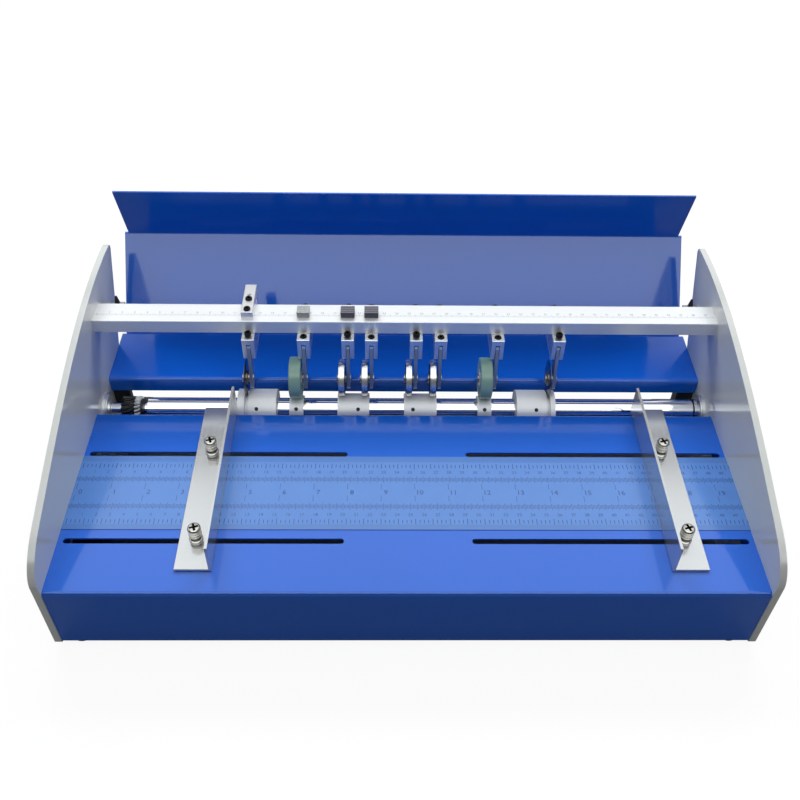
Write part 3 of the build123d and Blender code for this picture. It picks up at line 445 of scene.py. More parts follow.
def cut(piece, cutter, **settings):
    """Cuts a closed cutter out of a piece and removes the cutter."""
    shape(piece, "BOOLEAN", operation="DIFFERENCE", solver="EXACT", object=cutter, **settings)
    discard(cutter)


def second_finish(piece, finish, test):
    """Gives a piece one more finish, on the faces whose centre and normal pass a test."""
    piece.data.materials.append(finish.material)
    for face in piece.data.polygons:
        face.material_index = 1 if test(face.center, face.normal) else 0


def placed_copy(piece, name, place, turn=(0.0, 0.0, 0.0)):
    """A copy with its own mesh, turned and moved, with its place in its mesh."""
    twin = bpy.data.objects.new(name, piece.data.copy())
    bpy.context.scene.collection.objects.link(twin)
    twin.rotation_euler = turn
    twin.location = place
    pick(twin)
    bpy.ops.object.transform_apply()
    return twin


def plated(name, colour, roughness, smudge=0.06, scale=160.0):
    """Smooth plated or polished metal, with faint smudges in its gloss."""
    finish = Finish(name, Metallic=1.0)
    haze = finish.noise(scale, 3.0)
    dark = tuple(0.93 * c for c in colour)
    finish.feed(
        Base_Color=finish.mix(haze, (*dark, 1), (*colour, 1)),
        Roughness=haze * smudge + roughness,
    )
    return finish


nickel = plated("nickel_plate", (0.60, 0.575, 0.52), 0.06, smudge=0.04)
# Painted shade: a dark nickel finish for the thumb screws' cross recesses and waisted necks.
recess_painted_shade = plated("painted_recess_shade", (0.10, 0.095, 0.085), 0.22, smudge=0.06)
screw_low, screw_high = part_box("left_thumb_screws")
thumb_height = 0.0140
thumb_base = screw_high.z - thumb_height
thumb_tip = screw_low.z - thumb_base
thumb_base_radius = 0.0050
knurl_low, knurl_high = 0.0062, 0.0122
thumb_screw = turned(
    "thumb_screw",
    [
        (0.0, thumb_tip), (0.0016, thumb_tip), (0.0020, thumb_tip + 0.0005), (0.0020, 0.0),
        (0.0047, 0.0), (0.0050, 0.0003), (0.0050, 0.0011), (0.0046, 0.0015), (0.0040, 0.0016),
        (0.0031, 0.0024), (0.0031, 0.0040), (0.0036, 0.0046), (0.00450, 0.0050), (0.00475, 0.0055),
        (0.00475, knurl_low), (0.00475, 0.5 * (knurl_low + knurl_high)), (0.00475, knurl_high),
        (0.0045, 0.0130), (0.0039, 0.0136), (0.0031, thumb_height), (0.0, thumb_height),
    ],
    sides=40,
)
upright = 0.2  # the most that an upright face's normal leans from level
knurl(thumb_screw, lambda c, n: knurl_low < c.z < knurl_high and abs(n.z) < upright, 0.00009, 0.00030)

recess_length, recess_width, recess_depth = 0.0064, 0.0017, 0.0024
bpy.ops.mesh.primitive_cube_add(size=1.0, scale=(recess_length, recess_width, 2 * recess_depth))
recess = bpy.context.object
bpy.ops.object.mode_set(mode="EDIT")
bpy.ops.mesh.select_all(action="SELECT")
bpy.ops.mesh.duplicate_move()
bpy.ops.transform.rotate(value=math.pi / 2, orient_axis="Z", center_override=(0, 0, 0))
bpy.ops.transform.translate(value=(0, 0, 0.00001))
bpy.ops.object.mode_set(mode="OBJECT")
recess.location = (0, 0, thumb_height)
bpy.ops.object.transform_apply()
cut(thumb_screw, recess, use_self=True)
ease(thumb_screw, 0.0001, angle=40.0)


def block(size, middle):
    """A plain block of a size around its middle."""
    bpy.ops.mesh.primitive_cube_add(size=1.0)
    piece = bpy.context.object
    piece.scale = size
    piece.location = middle
    pick(piece)
    bpy.ops.object.transform_apply()
    return piece


nut_width, nut_height = 0.0070, 0.0030
nut_middle = thumb_tip + 0.001 + nut_height / 2
square_nut = block((nut_width, nut_width, nut_height), (0, 0, nut_middle))
choose_faces(square_nut, lambda c, n: abs(n.z) > 0.9)
bpy.ops.mesh.inset(thickness=0.0012, depth=-0.0002)
bpy.ops.object.mode_set(mode="OBJECT")
ease(square_nut, 0.0004)

hair = 0.0001  # the slack of a test on a face's place
recess_reach = 0.0033
neck_low, neck_high = 0.0017, 0.0045


def in_shade(point):
    """Whether a point of a thumb screw lies in its cross recess or its waisted neck, where shade is
    painted.
    """
    in_recess = thumb_height - recess_depth - hair < point.z < thumb_height - hair
    in_neck = neck_low < point.z < neck_high
    return in_recess and math.hypot(point.x, point.y) < recess_reach or in_neck


screw_turn = (0, 0, 0.3)
for side in ("left", "right"):
    low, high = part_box(f"{side}_thumb_screws")
    for end, y in (("front", low.y + thumb_base_radius), ("rear", high.y - thumb_base_radius)):
        place = Vector(((low.x + high.x) / 2, y, thumb_base))
        screw = placed_copy(thumb_screw, f"{side}_{end}_thumb_screw", place, screw_turn)
        nut = placed_copy(square_nut, f"{side}_{end}_nut", place)
        for piece in (screw, nut):
            stand_in(piece, f"{side}_thumb_screws", nickel)
        # The cross recess and the waisted neck take the dark finish, as painted shade.
        second_finish(screw, recess_painted_shade, lambda c, n: in_shade(c - place))
discard(thumb_screw, square_nut)

# ------------------------------------------------------------------- rear brackets
# Two angles of folded steel, painted black and screwed inside the side plates. They carry the rear table
# and stand on the rear feet.
black_paint = coated(
    "black_paint", 60.0, (0.016, 0.016, 0.017), (0.030, 0.030, 0.032), (900.0, 0.25, 0.0002),
    Roughness=0.38,
)
eased_copy("rear_brackets", black_paint, 0.0003)

# ------------------------------------------------------------------------ tool bar
# An aluminium bar between the plates, with a tee slot below for the hangers. It is brushed lengthways and
# printed with a fine scale on top.
bar_low, bar_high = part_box("tool_bar")
bar_scale_row = bar_low.y + 0.0110
bar_colours = ((0.87, 0.87, 0.875, 1), (0.93, 0.93, 0.93, 1))
bar_metal = brushed("bar_aluminium", (0.02, 1.0, 1.0), bar_colours, 0.42)
bar_x, bar_y, bar_z = (bar_metal.along(axis) for axis in "XYZ")
bar_ticks = ticks(bar_x, 0.001, 0.00025) * band(bar_y, bar_scale_row - 0.0030, 0.0009)
bar_ticks = bar_ticks | ticks(bar_x, 0.005, 0.0003) * band(bar_y, bar_scale_row - 0.0026, 0.0014)
bar_edge = 0.0002
bar_ticks = bar_ticks * (bar_z > bar_high.z - bar_edge)
bar_metal.feed(
    Base_Color=bar_metal.mix(bar_ticks * 0.7, bar_metal.ground, (0.22, 0.22, 0.24, 1)),
    Metallic=0.5 - bar_ticks * 0.3,
)
eased_copy("tool_bar", bar_metal, bar_edge)
bar_ink = coated("bar_ink", 900.0, (0.25, 0.25, 0.27), (0.38, 0.38, 0.40), Roughness=0.5)
bar_marks = [(str(n), scale_zero + n * 0.01, bar_scale_row) for n in range(1, 50)]
print_numbers("bar_scale_numbers", bar_marks, 0.0030, bar_high.z, bar_ink, "base")

# --------------------------------------------------------------------------- shaft
# The drive shaft is ground steel, hard chromed: a thick roller with thin ends. Six sleeves of satin
# aluminium are clamped on it, and a spring steel ring sits in a groove at its right end.
chrome = plated("hard_chrome", (0.86, 0.86, 0.87), 0.045, smudge=0.03)
eased_copy("drive_shaft", chrome, 0.0)
sleeve_metal = brushed(
    "sleeve_aluminium", (1.0, 0.15, 0.15), greys(0.80), 0.52, lines=1100.0, metallic=0.35
)
eased_copy("shaft_sleeves", sleeve_metal, 0.00025)

# ---------------------------------------------------------------------- set screws
# Black cup-point set screws hold the sleeves on the shaft. They are turned and blackened, with a hexagon
# socket that shows a bright speck of light.
black_oxide = plated("black_oxide", (0.030, 0.030, 0.032), 0.28, smudge=0.12, scale=500.0)


def hexagon(width, low, high):
    """A hexagonal cutter along Z between two levels."""
    bpy.ops.mesh.primitive_cylinder_add(vertices=6, radius=width / math.sqrt(3.0), depth=high - low)
    cutter = bpy.context.object
    cutter.location = (0, 0, (low + high) / 2)
    bpy.ops.object.transform_apply()
    return cutter


def loose_boxes(node):
    """The lowest and highest corners of each separate solid in a CAD node."""
    piece = merged_copy(node)
    bpy.ops.object.mode_set(mode="EDIT")
    bpy.ops.mesh.separate(type="LOOSE")
    bpy.ops.object.mode_set(mode="OBJECT")
    corners = []
    for part in list(bpy.context.selected_objects):
        points = [vertex.co for vertex in part.data.vertices]
        low = Vector([min(point[axis] for point in points) for axis in range(3)])
        high = Vector([max(point[axis] for point in points) for axis in range(3)])
        corners.append((low, high))
        bpy.data.objects.remove(part)
    return sorted(corners, key=lambda box: tuple(box[0]))


set_screw_radius, set_screw_tip = 0.0016, -0.0014
set_screw = turned(
    "set_screw",
    [
        (0.0, set_screw_tip), (set_screw_radius, set_screw_tip), (set_screw_radius, -0.00015),
        (0.00145, 0.0), (0.0, 0.0),
    ],
    sides=24,
)
cut(set_screw, hexagon(0.0016, -0.0010, 0.0005))
ease(set_screw, 0.0)
lean = math.radians(45.0)
outward = Vector((0.0, -math.sin(lean), math.cos(lean)))
shaft_low, shaft_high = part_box("drive_shaft")
shaft_y = (shaft_low.y + shaft_high.y) / 2
shaft_z = (shaft_low.z + shaft_high.z) / 2
roller_radius = (shaft_high.y - shaft_low.y) / 2
ring_boxes = []
for number, (low, high) in enumerate(loose_boxes("shaft_fasteners")):
    if high.z - low.z > roller_radius:
        ring_boxes.append((low, high))
        continue
    # The set screw lies along the outward lean, so its top is where its box reaches furthest that way.
    reach = (high.z - shaft_z - set_screw_radius * math.sin(lean)) / math.cos(lean)
    top = Vector(((low.x + high.x) / 2, shaft_y, shaft_z)) + outward * reach
    screw = placed_copy(set_screw, f"set_screw_{number}", top, (lean, 0, 0))
    stand_in(screw, "shaft_fasteners", black_oxide)
discard(set_screw)

ring_low, ring_high = ring_boxes[0]
ring_width = ring_high.x - ring_low.x
ring_inner, ring_outer = roller_radius - 0.001, roller_radius + 0.0005
retaining_ring = turned(
    "retaining_ring",
    [
        (ring_inner, 0.0), (ring_outer, 0.0), (ring_outer, ring_width), (ring_inner, ring_width),
        (ring_inner, 0.0),
    ],
    sides=64,
    centre=(ring_low.x, shaft_y, shaft_z),
    axis="X",
)
ease(retaining_ring, 0.00015)
stand_in(retaining_ring, "shaft_fasteners", black_oxide)

# -------------------------------------------------------------------- shaft bushes
# Flanged bearing housings, pressed into the side plates. Each is turned, with two grooves in its flange,
# and shows the bearing's shield around the shaft.
bush_metal = plated("bush_steel", (0.86, 0.86, 0.85), 0.36, smudge=0.10)
bush_low, bush_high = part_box("shaft_bushes")
wall_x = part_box("right_side_plate")[0].x
plate_outer_x = bush_high.x
flange_radius = (bush_high.z - bush_low.z) / 2
flange_depth = 0.0035
body_radius = 0.0090
journal_radius = 0.00505
bush_model = turned(
    "bush",
    [
        (journal_radius, plate_outer_x), (body_radius, plate_outer_x), (body_radius, wall_x),
        (flange_radius, wall_x), (flange_radius, wall_x - 0.0009),
        (flange_radius - 0.0009, wall_x - 0.0011), (flange_radius - 0.0009, wall_x - 0.0015),
        (flange_radius - 0.0003, wall_x - 0.0017), (flange_radius - 0.0003, wall_x - 0.0024),
        (flange_radius - 0.0014, wall_x - 0.0026), (flange_radius - 0.0014, wall_x - 0.0030),
        (flange_radius - 0.0020, wall_x - flange_depth), (0.0098, wall_x - flange_depth),
        (0.0094, wall_x - 0.0028), (0.0070, wall_x - 0.0028), (0.0068, wall_x - flange_depth),
        (journal_radius, wall_x - flange_depth), (journal_radius, plate_outer_x),
    ],
    sides=64,
    centre=(0, shaft_y, shaft_z),
    axis="X",
)
for side in ("left", "right"):
    bush = placed_copy(bush_model, f"{side}_bush", (0, 0, 0))
    if side == "left":
        bush.scale = (-1, 1, 1)
        bpy.ops.object.transform_apply()
        bpy.ops.object.mode_set(mode="EDIT")
        bpy.ops.mesh.select_all(action="SELECT")
        bpy.ops.mesh.normals_make_consistent(inside=False)
        bpy.ops.object.mode_set(mode="OBJECT")
    ease(bush, 0.00012)
    stand_in(bush, "shaft_bushes", bush_metal)
discard(bush_model)

# --------------------------------------------------------------------------- gears
# The shaft's helical gear is black moulded nylon, with a white nylon ring of the same teeth beside it.
# The motor's steel pinion has the opposite hand, so the two keep in mesh as they turn.
helix_turn = math.radians(26.0)  # over the width of the shaft gear
nylon_skin = (1500.0, 0.1, 0.0001)
black_nylon = coated(
    "black_nylon", 300.0, (0.005, 0.005, 0.006), (0.011, 0.011, 0.012), nylon_skin, Roughness=0.35
)
white_nylon = coated(
    "white_nylon", 300.0, (0.78, 0.78, 0.75), (0.86, 0.86, 0.84), nylon_skin, Roughness=0.35
)
pinion_steel = plated("pinion_steel", (0.50, 0.50, 0.51), 0.22, smudge=0.1)
gear_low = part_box("shaft_gear")[0]
teeth_low, teeth_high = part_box("gear_ring")
gear_length = teeth_low.x - gear_low.x
pinion_low, pinion_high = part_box("motor_pinion")
addenda = 0.002  # two teeth's height above the circles that roll on each other
gear_ratio = (teeth_high.z - teeth_low.z - addenda) / (pinion_high.z - pinion_low.z - addenda)
slices = 6


def twist(piece, centre, start, end, turn, before=0.0):
    """Makes teeth a helix along X: turned by before at its start, and by turn more at its end."""
    pick(piece)
    bpy.ops.object.mode_set(mode="EDIT")
    bpy.ops.mesh.select_mode(type="VERT")
    for step in range(slices):
        here = start + (end - start) * step / slices
        if step:
            bpy.ops.mesh.select_all(action="SELECT")
            bpy.ops.mesh.bisect(plane_co=(here, centre[1], centre[2]), plane_no=(1, 0, 0))
        bpy.ops.mesh.select_all(action="DESELECT")
        bpy.ops.object.mode_set(mode="OBJECT")
        for vertex in piece.data.vertices:
            vertex.select = vertex.co.x > here + 0.00001 or step == 0
        bpy.ops.object.mode_set(mode="EDIT")
        angle = before if step == 0 else turn / slices
        bpy.ops.transform.rotate(value=angle, orient_axis="X", center_override=centre)
    bpy.ops.object.mode_set(mode="OBJECT")
    ease(piece, 0.0, angle=25.0)


shaft_centre = (0.0, shaft_y, shaft_z)
pinion_centre = (0.0, (pinion_low.y + pinion_high.y) / 2, (pinion_low.z + pinion_high.z) / 2)
black_gear = merged_copy("shaft_gear")
twist(black_gear, shaft_centre, gear_low.x, teeth_low.x, helix_turn)
stand_in(black_gear, "shaft_gear", black_nylon)
ring_share = (teeth_high.x - teeth_low.x) / gear_length
white_ring = merged_copy("gear_ring")
twist(white_ring, shaft_centre, teeth_low.x, teeth_high.x, helix_turn * ring_share, before=helix_turn)
stand_in(white_ring, "gear_ring", white_nylon)
pinion = merged_copy("motor_pinion")
twist(pinion, pinion_centre, gear_low.x, pinion_high.x, -helix_turn * gear_ratio)
stand_in(pinion, "motor_pinion", pinion_steel)

# --------------------------------------------------------------------- drive motor
# A geared motor, screwed inside the left plate. Its gearbox is die-cast zinc, and a can of steel, painted
# black, holds the motor beside it.
motor = merged_copy("drive_motor")
ease(motor, 0.0004)
gearbox_width = 0.012
gearbox_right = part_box("left_side_plate")[1].x + gearbox_width
cast_zinc = plated("cast_zinc", (0.48, 0.48, 0.50), 0.42, smudge=0.16, scale=700.0)
stand_in(motor, "drive_motor", black_paint)
second_finish(motor, cast_zinc, lambda c, n: c.x < gearbox_right + hair)

# --------------------------------------------------------------------- mains inlet
# A moulded black inlet with three brass contacts, clipped into the left plate, and a rocker switch beside
# it with its two plain position marks.
moulded_blacks = ((0.010, 0.010, 0.011), (0.018, 0.018, 0.019))
moulded_black = coated("moulded_black", 200.0, *moulded_blacks, (2200.0, 0.2, 0.0001), Roughness=0.30)
inlet = merged_copy("power_inlet")
ease(inlet, 0.0003)
stand_in(inlet, "power_inlet", moulded_black)
contact_brass = plated("contact_brass", (0.72, 0.56, 0.28), 0.18, smudge=0.1)
inlet_low, inlet_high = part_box("power_inlet")
socket_y = (inlet_low.y + inlet_high.y) / 2 - 0.0085
socket_z = (inlet_low.z + inlet_high.z) / 2
contacts_half_width, contacts_half_height = 0.0085, 0.0045
contacts_front, contacts_back = 0.0020, 0.0159  # in from the inlet's outer face


def on_contact(c, n):
    """Whether a face of the inlet belongs to a contact in its socket."""
    in_socket = abs(c.y - socket_y) < contacts_half_width and abs(c.z - socket_z) < contacts_half_height
    return in_socket and inlet_low.x + contacts_front < c.x < inlet_low.x + contacts_back


second_finish(inlet, contact_brass, on_contact)

rocker_low, rocker_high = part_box("power_rocker")
mark_reach, mark_line, mark_inset, mark_skin = 0.0015, 0.0003, 0.0040, 0.004
rocker_plastic = coated("rocker_plastic", 200.0, *moulded_blacks, (2200.0, 0.1, 0.0001), Roughness=0.28)
rocker_x, rocker_y, rocker_z = (rocker_plastic.along(axis) for axis in "XYZ")
from_middle = rocker_y - (rocker_low.y + rocker_high.y) / 2
from_ring = rocker_z - (rocker_low.z + mark_inset)
from_stroke = rocker_z - (rocker_high.z - mark_inset)
stroke = (abs(from_middle) < mark_line) * (abs(from_stroke) < mark_reach)
ring_radius = (from_middle * from_middle + from_ring * from_ring).root()
ring = abs(ring_radius - mark_reach) < mark_line
marks = (stroke | ring) * (rocker_x < rocker_low.x + mark_skin)
rocker_plastic.feed(Base_Color=rocker_plastic.mix(marks, rocker_plastic.ground, (0.75, 0.75, 0.75, 1)))
eased_copy("power_rocker", rocker_plastic, 0.0003)

# -------------------------------------------------------------------- tool hangers
# Eight machined aluminium hangers hook into the bar's tee slot. Each is milled from bar and brushed, with
# a slot at its front for the arm.
hanger_metal = brushed("hanger_aluminium", (1.0, 1.0, 0.05), greys(0.84), 0.33)
stations = range(1, 9)
for number in stations:
    eased_copy(f"hanger_{number}", hanger_metal, 0.00025)
clamp_metal = brushed("clamp_aluminium", (1.0, 0.04, 1.0), greys(0.86), 0.35)
eased_copy("clamp_bar", clamp_metal, 0.0003)

# ------------------------------------------------------------------------ bar pads
# Small grey rubber pads, stuck on the bar over three hangers. Each is moulded with ribs across its front
# and top, and the first is worn pale.
pad_rubber = Finish("pad_rubber", Roughness=0.55)
stripe_step, stripe_half = 0.0022, 0.22  # the second as a share of the step
stripe_mask = abs((pad_rubber.along("Y") / stripe_step).fraction() - 0.5) < stripe_half
stripes = stripe_mask * 0.6 + pad_rubber.noise(900.0, 4.0) * 0.4
pad_rubber.feed(
    Base_Color=pad_rubber.mix(stripes, (0.050, 0.047, 0.065, 1), (0.24, 0.23, 0.28, 1)),
    Normal=pad_rubber.bump(pad_rubber.noise(1400.0), 0.3, 0.0002),
)
worn_rubber = coated(
    "worn_rubber", 700.0, (0.12, 0.12, 0.13), (0.75, 0.76, 0.77), (1400.0, 0.4, 0.0002), detail=4.0,
    Roughness=0.6,
)
rib_count, rib_gap, rib_depth = 4, 0.0002, 0.0002


def ribbed_pad(name, low, high):
    """A rubber block between two corners: ribs run across its front and top."""
    size = high - low
    pad = block(size, (low + high) / 2)
    pad.name = name
    bpy.ops.object.mode_set(mode="EDIT")
    for rib in range(1, rib_count):
        share = rib / rib_count
        bpy.ops.mesh.select_all(action="SELECT")
        bpy.ops.mesh.bisect(plane_co=(0, 0, low.z + size.z * share), plane_no=(0, 0, 1))
        bpy.ops.mesh.select_all(action="SELECT")
        bpy.ops.mesh.bisect(plane_co=(0, low.y + size.y * share, 0), plane_no=(0, 1, 0))
    bpy.ops.object.mode_set(mode="OBJECT")
    choose_faces(pad, lambda c, n: n.z > 0.9 or n.y < -0.9)
    bpy.ops.mesh.inset(thickness=rib_gap, depth=0.0, use_individual=True)
    bpy.ops.mesh.extrude_region_shrink_fatten(TRANSFORM_OT_shrink_fatten={"value": -rib_depth})
    bpy.ops.object.mode_set(mode="OBJECT")
    ease(pad, 0.0004)
    return pad


# ------------------------------------------------------------------ station screws
# Black socket-head cap screws, knurled around the head: one presses each arm down, one locks each hanger,
# and two hold the clamp bar. Plain steel pins carry the arms.
head_radius, head_height, thread_radius = 0.00275, 0.0030, 0.0015
cap_screw = turned(
    "cap_screw",
    [
        (0.0, -0.0028), (0.0013, -0.0028), (thread_radius, -0.0026), (thread_radius, 0.0),
        (head_radius, 0.0), (head_radius, 0.0003), (head_radius, 0.0024), (0.0025, head_height),
        (0.0, head_height),
    ],
    sides=36,
)
knurl(cap_screw, lambda c, n: 0.0003 < c.z < 0.0024 and abs(n.z) < upright, 0.00005, 0.00009)
cut(cap_screw, hexagon(0.0025, head_height - 0.0016, head_height + 0.0005))
ease(cap_screw, 0.0, angle=40.0)

pin_steel = plated("pin_steel", (0.55, 0.55, 0.56), 0.2, smudge=0.1)

# Each solid is told by its size and place: pads lie on the bar, pins are the widest, lock screws stand
# behind the hanger, the other screws have wide heads, and the clamp bar's pin is what is left.
pad_least, pin_least, lock_least, head_least = 0.008, 0.009, 0.005, 0.004
behind_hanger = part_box("hanger_2")[1].y + 0.001
pin_radius, pin_end, pin_break = 0.0015, 0.0012, 0.0003
pivot_pin = None
for number in stations:
    node = f"station_screws_{number}"
    for count, (low, high) in enumerate(loose_boxes(node)):
        size, middle = high - low, (low + high) / 2
        if low.z > bar_high.z - hair and size.x > pad_least:
            piece = ribbed_pad(f"pad_{number}", low, high)
            stand_in(piece, node, worn_rubber if number == 2 else pad_rubber)
        elif size.x > pin_least:
            if not pivot_pin:
                outline = [(0.0, 0.0), (pin_end, 0.0), (pin_radius, pin_break)]
                outline += [(pin_radius, size.x - pin_break), (pin_end, size.x), (0.0, size.x)]
                pivot_pin = turned("pivot_pin", outline, sides=24, axis="X")
                ease(pivot_pin, 0.0)
            piece = placed_copy(pivot_pin, f"pivot_pin_{number}", (low.x, middle.y, middle.z))
            stand_in(piece, node, pin_steel)
        elif high.y > behind_hanger and size.y > lock_least:
            place = (middle.x, high.y - head_height, middle.z)
            piece = placed_copy(cap_screw, f"lock_screw_{number}", place, (-math.pi / 2, 0, 0))
            stand_in(piece, node, black_oxide)
        elif size.x > head_least:
            place = (middle.x, middle.y, high.z - head_height)
            piece = placed_copy(cap_screw, f"screw_{number}_{count}", place, (0, 0, 0.2 * count))
            stand_in(piece, node, black_oxide)
        else:
            outline = [(0.0, low.z), (pin_radius, low.z), (pin_radius, high.z - 0.0002)]
            outline += [(0.0013, high.z), (0.0, high.z)]
            piece = turned("clamp_pin", outline, sides=24, centre=(middle.x, middle.y, 0.0))
            ease(piece, 0.0)
            stand_in(piece, node, pin_steel)
discard(cap_screw, pivot_pin)

# ---------------------------------------------------------------------------- arms
# Each arm is ground steel plate, with a highlight painted pale along its top edge, and a riveted stud for
# its wheel. It hangs on its pin in the hanger's slot.
arm_colours = ((0.46, 0.46, 0.47, 1), (0.50, 0.50, 0.505, 1))
arm_steel_and_highlight = brushed("ground_steel_painted_highlight", (1.0, 1.0, 0.05), arm_colours, 0.34, lines=1300.0)
# Painted highlight: the top of each arm is coloured near white, where its top edge catches the light.
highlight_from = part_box("arm_1")[1].z - 0.0022
painted_highlight = arm_steel_and_highlight.along("Z") > highlight_from
arm_steel_and_highlight.feed(Base_Color=arm_steel_and_highlight.mix(painted_highlight, arm_steel_and_highlight.ground, (0.95, 0.95, 0.95, 1)))
stud_steel = plated("stud_steel", (0.42, 0.42, 0.41), 0.30, smudge=0.10)
stud_from = 0.00155  # from the arm's middle: past half its thickness
for number in stations:
    arm = eased_copy(f"arm_{number}", arm_steel_and_highlight, 0.0004)
    arm_middle = (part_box(f"hanger_{number}")[0].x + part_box(f"hanger_{number}")[1].x) / 2
    second_finish(arm, stud_steel, lambda c, n: abs(c.x - arm_middle) > stud_from)

# ------------------------------------------------------------------- crease wheels
# Hardened steel wheels, polished and chromed on the tread, which has a rounded raised rim. Their sides
# are recessed, and the recesses are painted near black as shade.
# Painted shade: a near-black finish for the recessed sides of the crease wheels.
side_painted_shade = plated("wheel_side_painted_shade", (0.045, 0.045, 0.048), 0.25, smudge=0.15, scale=300.0)
bore_radius = 0.00255


def wheel(name, half, width, sides=96):
    """A turned wheel, from the outline of its left half. The right half mirrors it."""
    outline = half + [(radius, width - step) for radius, step in reversed(half)] + half[:1]
    piece = turned(name, outline, sides, axis="X")
    ease(piece, 0.0, angle=28.0)
    return piece


def fit_wheel(model, node, name, finish):
    """A copy of a wheel in the place of a CAD node, standing for it."""
    low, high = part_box(node)
    place = (low.x, (low.y + high.y) / 2, (low.z + high.z) / 2)
    return stand_in(placed_copy(model, name, place), node, finish)


def width_of(node):
    """How long a CAD node is along X."""
    low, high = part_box(node)
    return high.x - low.x


tread_chrome = plated("tread_chrome", (0.88, 0.88, 0.89), 0.24, smudge=0.06)
crease_half = [
    (bore_radius, 0.0), (0.0056, 0.0), (0.0060, 0.0005), (0.0124, 0.0005), (0.0129, 0.0),
    (0.0146, 0.0), (0.0149, 0.0003), (0.0149, 0.0010), (0.0152, 0.0011), (0.0153, 0.0013),
]
side_skin, side_depth, side_facing = 0.00005, 0.0007, 0.4
crease_wheel = wheel("crease_wheel", crease_half, width_of("crease_wheel_3"))
for number in (3, 4, 5, 6):
    node = f"crease_wheel_{number}"
    left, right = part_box(node)[0].x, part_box(node)[1].x
    tyre = fit_wheel(crease_wheel, node, f"{node}_piece", tread_chrome)

    def on_side(c, n):
        """Whether a face belongs to the recessed side of the wheel, inside its flat rims, painted as
        shade.
        """
        inwards = min(c.x - left, right - c.x)
        return side_skin < inwards < side_depth and abs(n.x) > side_facing

    second_finish(tyre, side_painted_shade, on_side)
discard(crease_wheel)

# -------------------------------------------------------------------- feed rollers
# A soft green rubber tyre, moulded on a light nylon hub. The tyre has rounded shoulders and a shallow
# groove around each side.
green_rubber = coated(
    "feed_rubber", 220.0, (0.28, 0.47, 0.385), (0.36, 0.56, 0.465), (1500.0, 0.15, 0.0002), detail=4.0,
    Roughness=0.32, Coat_Weight=0.15, Coat_Roughness=0.2,
)
tyre_half = [
    (0.0080, 0.0003), (0.0148, 0.0003), (0.0151, 0.0006), (0.0154, 0.0003), (0.0160, 0.0),
    (0.0168, 0.0002), (0.0172, 0.0007), (0.0173, 0.0014), (0.0173, 0.0049),
]
feed_hub_half = [
    (bore_radius, 0.0), (0.0045, 0.0), (0.0050, 0.0008), (0.0072, 0.0008), (0.0077, 0.0002),
    (0.0080, 0.0002),
]
feed_tyre = wheel("feed_tyre", tyre_half, width_of("feed_roller_2"))
feed_hub = wheel("feed_hub", feed_hub_half, width_of("feed_roller_2"), sides=48)
for number in (2, 7):
    node = f"feed_roller_{number}"
    fit_wheel(feed_tyre, node, f"{node}_piece", green_rubber)
    fit_wheel(feed_hub, node, f"feed_hub_{number}", white_nylon)
discard(feed_tyre, feed_hub)

# ----------------------------------------------------------------- slitting blades
# Two thin hardened discs that slit the paper. Each is ground to a bevel on both sides and pressed on a
# small brass hub.
blade_steel = plated("blade_steel", (0.20, 0.20, 0.21), 0.16, smudge=0.12, scale=240.0)
hub_brass = plated("hub_brass", (0.36, 0.31, 0.22), 0.30, smudge=0.1)
blade_half = [(0.0060, 0.00095), (0.0136, 0.00095), (0.0154, 0.00145)]
blade_hub_half = [(bore_radius, 0.0), (0.0056, 0.0), (0.0060, 0.0003), (0.0060, 0.0014)]
blade = wheel("blade", blade_half, width_of("slitting_blade_1"), sides=128)
blade_hub = wheel("blade_hub", blade_hub_half, width_of("slitting_blade_1"), sides=48)
for number in (1, 8):
    node = f"slitting_blade_{number}"
    fit_wheel(blade, node, f"{node}_piece", blade_steel)
    fit_wheel(blade_hub, node, f"blade_hub_{number}", hub_brass)
discard(blade, blade_hub)

# ------------------------------------------------------------------ cover fittings
# Steel hinge pins behind the rear table, and a steel stop pin in each side plate. A small tapered bumper
# of black rubber stands on each stop pin.
eased_copy("cover_hinge_pins", pin_steel, 0.0)
eased_copy("stop_pins", pin_steel, 0.0)
soft_black = coated(
    "soft_black_rubber", 400.0, (0.010, 0.010, 0.010), (0.024, 0.024, 0.024), (1800.0, 0.25, 0.0002),
    Roughness=0.55,
)
eased_copy("stop_bumpers", soft_black, 0.0003)

# -------------------------------------------------------------------- frame screws
# Black button-head screws with hexagon sockets join the side plates to the bar, the tables and the
# brackets, and hold the motor.
button_radius, button_height = 0.0037, 0.0022
button_screw = turned(
    "button_screw",
    [
        (0.0, -0.0050), (0.0020, -0.0050), (0.0020, 0.0), (button_radius, 0.0), (button_radius, 0.0005),
        (0.0035, 0.0011), (0.0029, 0.0018), (0.0020, button_height), (0.0, button_height),
    ],
    sides=32,
)
cut(button_screw, hexagon(0.0025, button_height - 0.0013, button_height + 0.0005))
ease(button_screw, 0.0, angle=35.0)
outer_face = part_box("right_side_plate")[1].x
for number, (low, high) in enumerate(loose_boxes("frame_screws")):
    side = 1.0 if high.x > 0 else -1.0
    place = (side * outer_face, (low.y + high.y) / 2, (low.z + high.z) / 2)
    screw = placed_copy(button_screw, f"frame_screw_{number}", place, (0, side * math.pi / 2, 0))
    stand_in(screw, "frame_screws", black_oxide)
discard(button_screw)

# ---------------------------------------------------------------------------- feet
# Four round feet of black rubber, fixed under the apron's return and the rear brackets. Each is moulded
# with a bevelled edge.
eased_copy("rubber_feet", soft_black, 0.0004)
